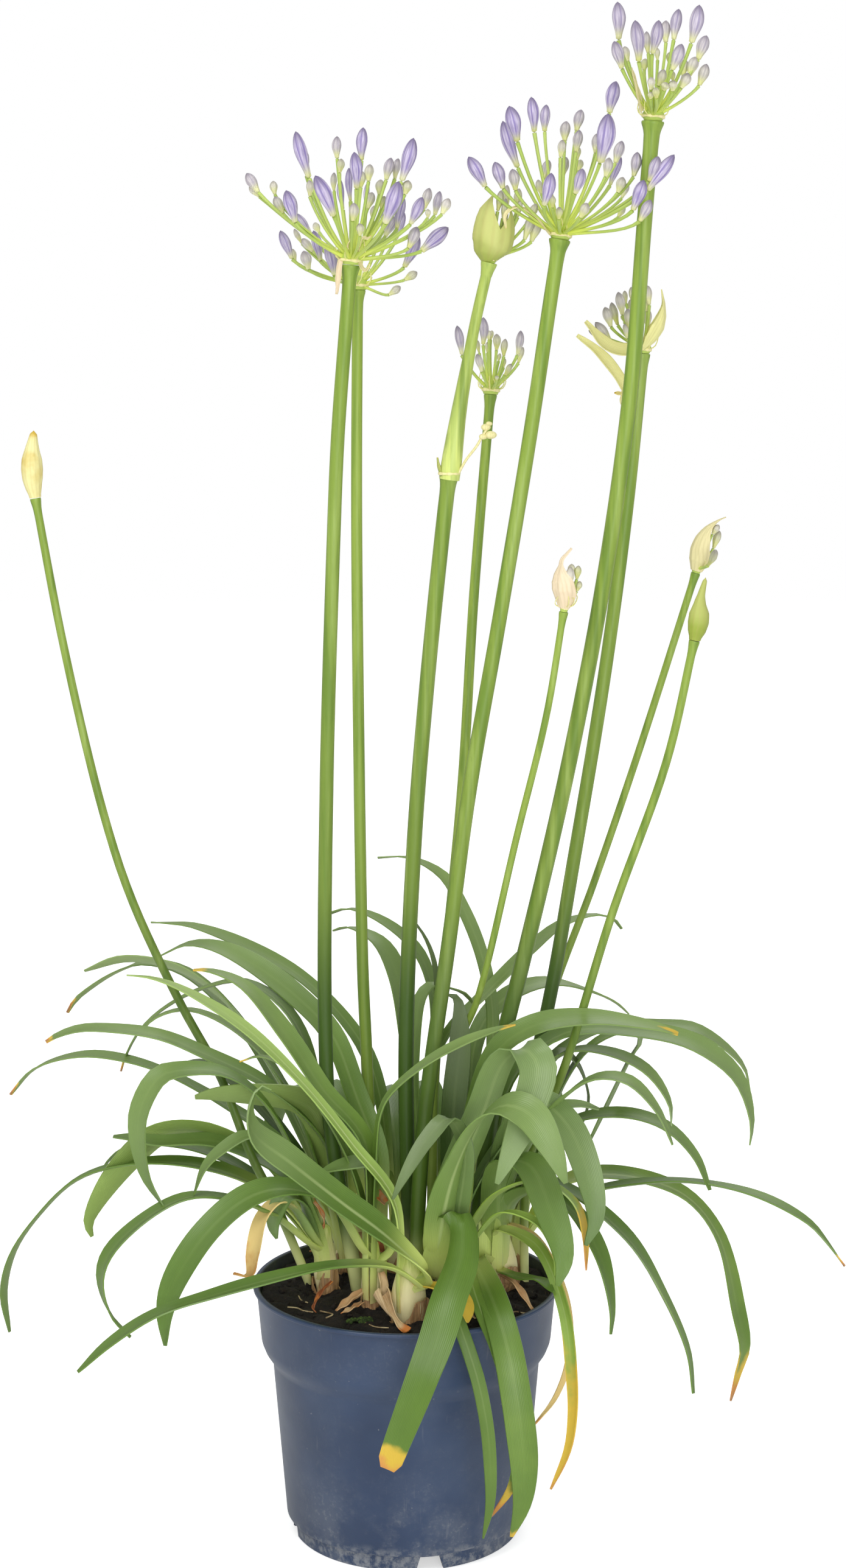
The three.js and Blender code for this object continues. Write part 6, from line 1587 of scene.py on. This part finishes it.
def make_bud_petals():
    """Closed petals: cream-green at the foot, pale lavender with darker seams, greyish at the tip."""
    material, tree, skin, (ripe, chance, *_) = start_material("bud_petals")
    place = blade_place(tree)
    around, share = place["X"], place["Y"]
    ridge = calc(tree, "COSINE", times(tree, around, 12 * math.pi))
    drawn = node(tree, "CombineXYZ", {"X": times(tree, around, 26), "Y": times(tree, share, 3),
        "Z": times(tree, chance, 9)}).outputs[0]
    streak = mottle(tree, 1, 3, 0.6, drawn)
    cream = blend(tree, chance, srgb(206, 208, 124), srgb(226, 226, 172))
    unripe = blend(tree, chance, srgb(196, 200, 138), srgb(212, 207, 194))
    shaded = tinge(tree, cream, unripe, fade(tree, share, 0.25, 0.6), calc(tree, "SUBTRACT", 1, ripe))
    lavender = blend(tree, fade(tree, streak, 0.3, 0.7), srgb(156, 144, 184), srgb(206, 196, 220))
    violet = tinge(tree, lavender, srgb(128, 112, 172), fade(tree, ridge, -0.45, -1), 0.85)
    start, full = (calc(tree, "MULTIPLY_ADD", ripe, -0.35, late) for late in (0.38, 0.72))
    colour = tinge(tree, shaded, violet, fade(tree, share, start, full), ripe)
    tip = blend(tree, ripe, srgb(166, 161, 144), srgb(112, 100, 134))
    colour = tinge(tree, colour, tip, fade(tree, share, 0.60, 0.98), 0.9)
    finish_material(tree, skin, colour, 0.5, (calc(tree, "ADD", ridge, streak), 0.0002, 0.5))
    return material


def make_bract_paper(veins):
    """Papery bracts: cream, greenish or pinkish, greener at the foot and browning where they dry."""
    material, tree, skin, (tint, pink, dry, _) = start_material("bract_paper")
    lines = use_group(tree, veins, Count=12, Waver=0.6)
    low = calc(tree, "MULTIPLY_ADD", fade(tree, lines["Share"], 0.5, 0), 0.4, 0.75)
    cream = blend(tree, times(tree, tint, low, clamp=True), srgb(236, 231, 160), srgb(150, 166, 60))
    cream = tinge(tree, cream, srgb(232, 208, 188), pink, 0.8)
    cream = tinge(tree, cream, srgb(176, 158, 96), fade(tree, lines["Veins"], 0.45, 0.8), 0.25)
    colour = dry_off(tree, cream, times(tree, dry, 0.8))
    finish_material(tree, skin, colour, 0.62, (lines["Veins"], 0.0003, 0.5))
    return material


def make_dry_sheath(veins):
    """Dead sheaths: tan with darker veins, and rusty brown where they are driest."""
    material, tree, skin, (_, _, dry, _) = start_material("dry_sheath")
    lines = use_group(tree, veins, Count=14, Waver=0.8)
    tan = blend(tree, fade(tree, mottle(tree, 60, 4), 0.35, 0.7), srgb(226, 198, 152), srgb(190, 146, 100))
    tan = tinge(tree, tan, srgb(150, 104, 66), fade(tree, lines["Veins"], 0.45, 0.75), 0.38)
    tan = blend(tree, fade(tree, dry, 0.35, 0.7), tan, srgb(206, 126, 58))
    tan = blend(tree, fade(tree, dry, 0.8, 0.9), tan, srgb(150, 84, 44))
    finish_material(tree, skin, tan, 0.78, (lines["Veins"], 0.0004, 0.7))
    return material


def make_root_skin():
    material, tree, skin, _ = start_material("root_skin")
    cream = blend(tree, fade(tree, mottle(tree, 140, 3), 0.35, 0.7), srgb(196, 178, 138), srgb(128, 100, 66))
    finish_material(tree, skin, cream, 0.8, (mottle(tree, 600, 3), 0.0003, 0.6))
    return material


def make_soil_mix():
    """Peat and bark: almost black, with brown and a few pale fibres."""
    material, tree, skin, _ = start_material("soil_mix")
    fine = mottle(tree, 900, 4, 0.7)
    middling = mottle(tree, 180, 4, 0.65, distortion=0.6)
    fibres = streaks(tree, (1500, 130, 600), 2, 0.5, (0.2, 0.1, 0.9))
    peat = blend(tree, fade(tree, middling, 0.35, 0.7), srgb(18, 14, 10), srgb(40, 31, 22))
    peat = blend(tree, fade(tree, fine, 0.60, 0.72), peat, srgb(66, 50, 34))
    peat = blend(tree, fade(tree, fibres, 0.70, 0.78), peat, srgb(104, 82, 56))
    finish_material(tree, skin, peat, 0.92, (calc(tree, "ADD", fine, middling), 0.0012, 0.8))
    return material


def make_moss_green():
    material, tree, skin, (tint, *_) = start_material("moss_green")
    green = blend(tree, tint, srgb(40, 60, 18), srgb(76, 102, 34))
    green = blend(tree, fade(tree, mottle(tree, 1200, 3), 0.45, 0.7), green, srgb(34, 46, 18))
    finish_material(tree, skin, green, 0.9, (mottle(tree, 1800, 3), 0.0008, 0.9))
    return material


def make_pot_plastic(dust):
    """Moulded nursery plastic, slate blue and satin, with dust and scuffs low down."""
    material, tree, skin, _ = start_material("pot_plastic")
    mask = use_group(tree, dust, From_Height=0, To_Height=0.075, Amount=0.6)["Mask"]
    shade = blend(tree, fade(tree, mottle(tree, 16, 3), 0.3, 0.75), srgb(36, 54, 84), srgb(50, 68, 98))
    rubbed = fade(tree, mottle(tree, 190, 4, 0.65), 0.40, 0.66)
    worn = times(tree, fade(tree, object_height(tree), 0.019, 0.010), rubbed)
    specks = times(tree, fade(tree, mottle(tree, 330, 2, 0.5), 0.74, 0.78), 0.5)
    mask = calc(tree, "MAXIMUM", mask, calc(tree, "MAXIMUM", specks, times(tree, worn, 0.7)))
    colour = blend(tree, mask, shade, srgb(140, 143, 146))
    satin = calc(tree, "MULTIPLY_ADD", mottle(tree, 60, 4), 0.12, 0.34)
    rough = calc(tree, "MULTIPLY_ADD", mask, 0.35, satin)
    finish_material(tree, skin, colour, rough, (mottle(tree, 1400, 2), 0.00008, 0.5))
    return material


def make_pot_inside(dust):
    """The same plastic where the soil and water have greened it."""
    material, tree, skin, _ = start_material("pot_inside")
    mask = use_group(tree, dust, From_Height=0.1, To_Height=0.17, Amount=0.5)["Mask"]
    shade = blend(tree, fade(tree, mottle(tree, 70, 5, 0.65), 0.4, 0.65), srgb(34, 40, 44), srgb(52, 62, 46))
    colour = blend(tree, mask, shade, srgb(112, 106, 92))
    finish_material(tree, skin, colour, 0.6, (mottle(tree, 700, 3), 0.0002, 0.5))
    return material


def make_floor_paint():
    """A white floor that glows a little, for the camera only."""
    material, tree, skin, _ = start_material("floor_paint")
    colour = blend(tree, fade(tree, mottle(tree, 3, 3), 0.3, 0.7), srgb(249, 249, 248), srgb(252, 252, 251))
    finish_material(tree, skin, colour, 0.7)
    skin.inputs["Emission Color"].default_value = (1, 1, 1, 1)
    seen = node(tree, "LightPath").outputs["Is Camera Ray"]
    tree.links.new(times(tree, seen, 0.5), skin.inputs["Emission Strength"])
    return material


# ---------- the making ----------

place_camera()
light_the_studio()

long_veins = build_veins()
dust = build_dust()
leaf_face = make_leaf("leaf_face", long_veins, srgb(42, 68, 18), srgb(90, 121, 42),
    srgb(148, 177, 72), 0.38, 0)
leaf_underside = make_leaf("leaf_underside", long_veins, srgb(54, 82, 30), srgb(102, 132, 56),
    srgb(150, 176, 84), 0.5, 0.25)
sheath_skin = make_sheath_skin()
stem_skin = make_stem_skin()
pedicel_skin = make_pedicel_skin()
bud_petals = make_bud_petals()
bract_paper = make_bract_paper(long_veins)
dry_sheath = make_dry_sheath(long_veins)
root_skin = make_root_skin()
soil_mix = make_soil_mix()
moss_green = make_moss_green()
pot_plastic = make_pot_plastic(dust)
pot_inside = make_pot_inside(dust)
floor_paint = make_floor_paint()

deselect_all()
bpy.ops.mesh.primitive_plane_add(size=12, location=(0, 0, 0))
floor = bpy.context.object
floor.name = "floor"
floor.data.materials.append(floor_paint)

strap = model_strap("strap", BLADE_ACROSS)
shell = model_strap("shell", SHELL_ACROSS)
bud = model_bud()

pieces = [model_pot()]
pieces += model_shoots(strap, shell)
pieces += model_scapes(strap)
pieces += [model_umbel(strap, shell, bud, name) for name in UMBELS]
pieces += [model_bud_case(name) for name in BUD_CASES]

soil = join("potting_soil", [model_soil(), model_crumbs()])
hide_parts("soil")
pieces.append(soil)

litter = [(model_scraps(strap), "dry_bud_case"), (model_roots(), "potting_soil"), (model_moss(), "leaf")]
for piece, slot in litter:
    smooth(piece, 50)
    pieces.append(piece)

for piece in pieces:
    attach(piece, "root")
for master in (strap, shell, bud):
    remove(master)
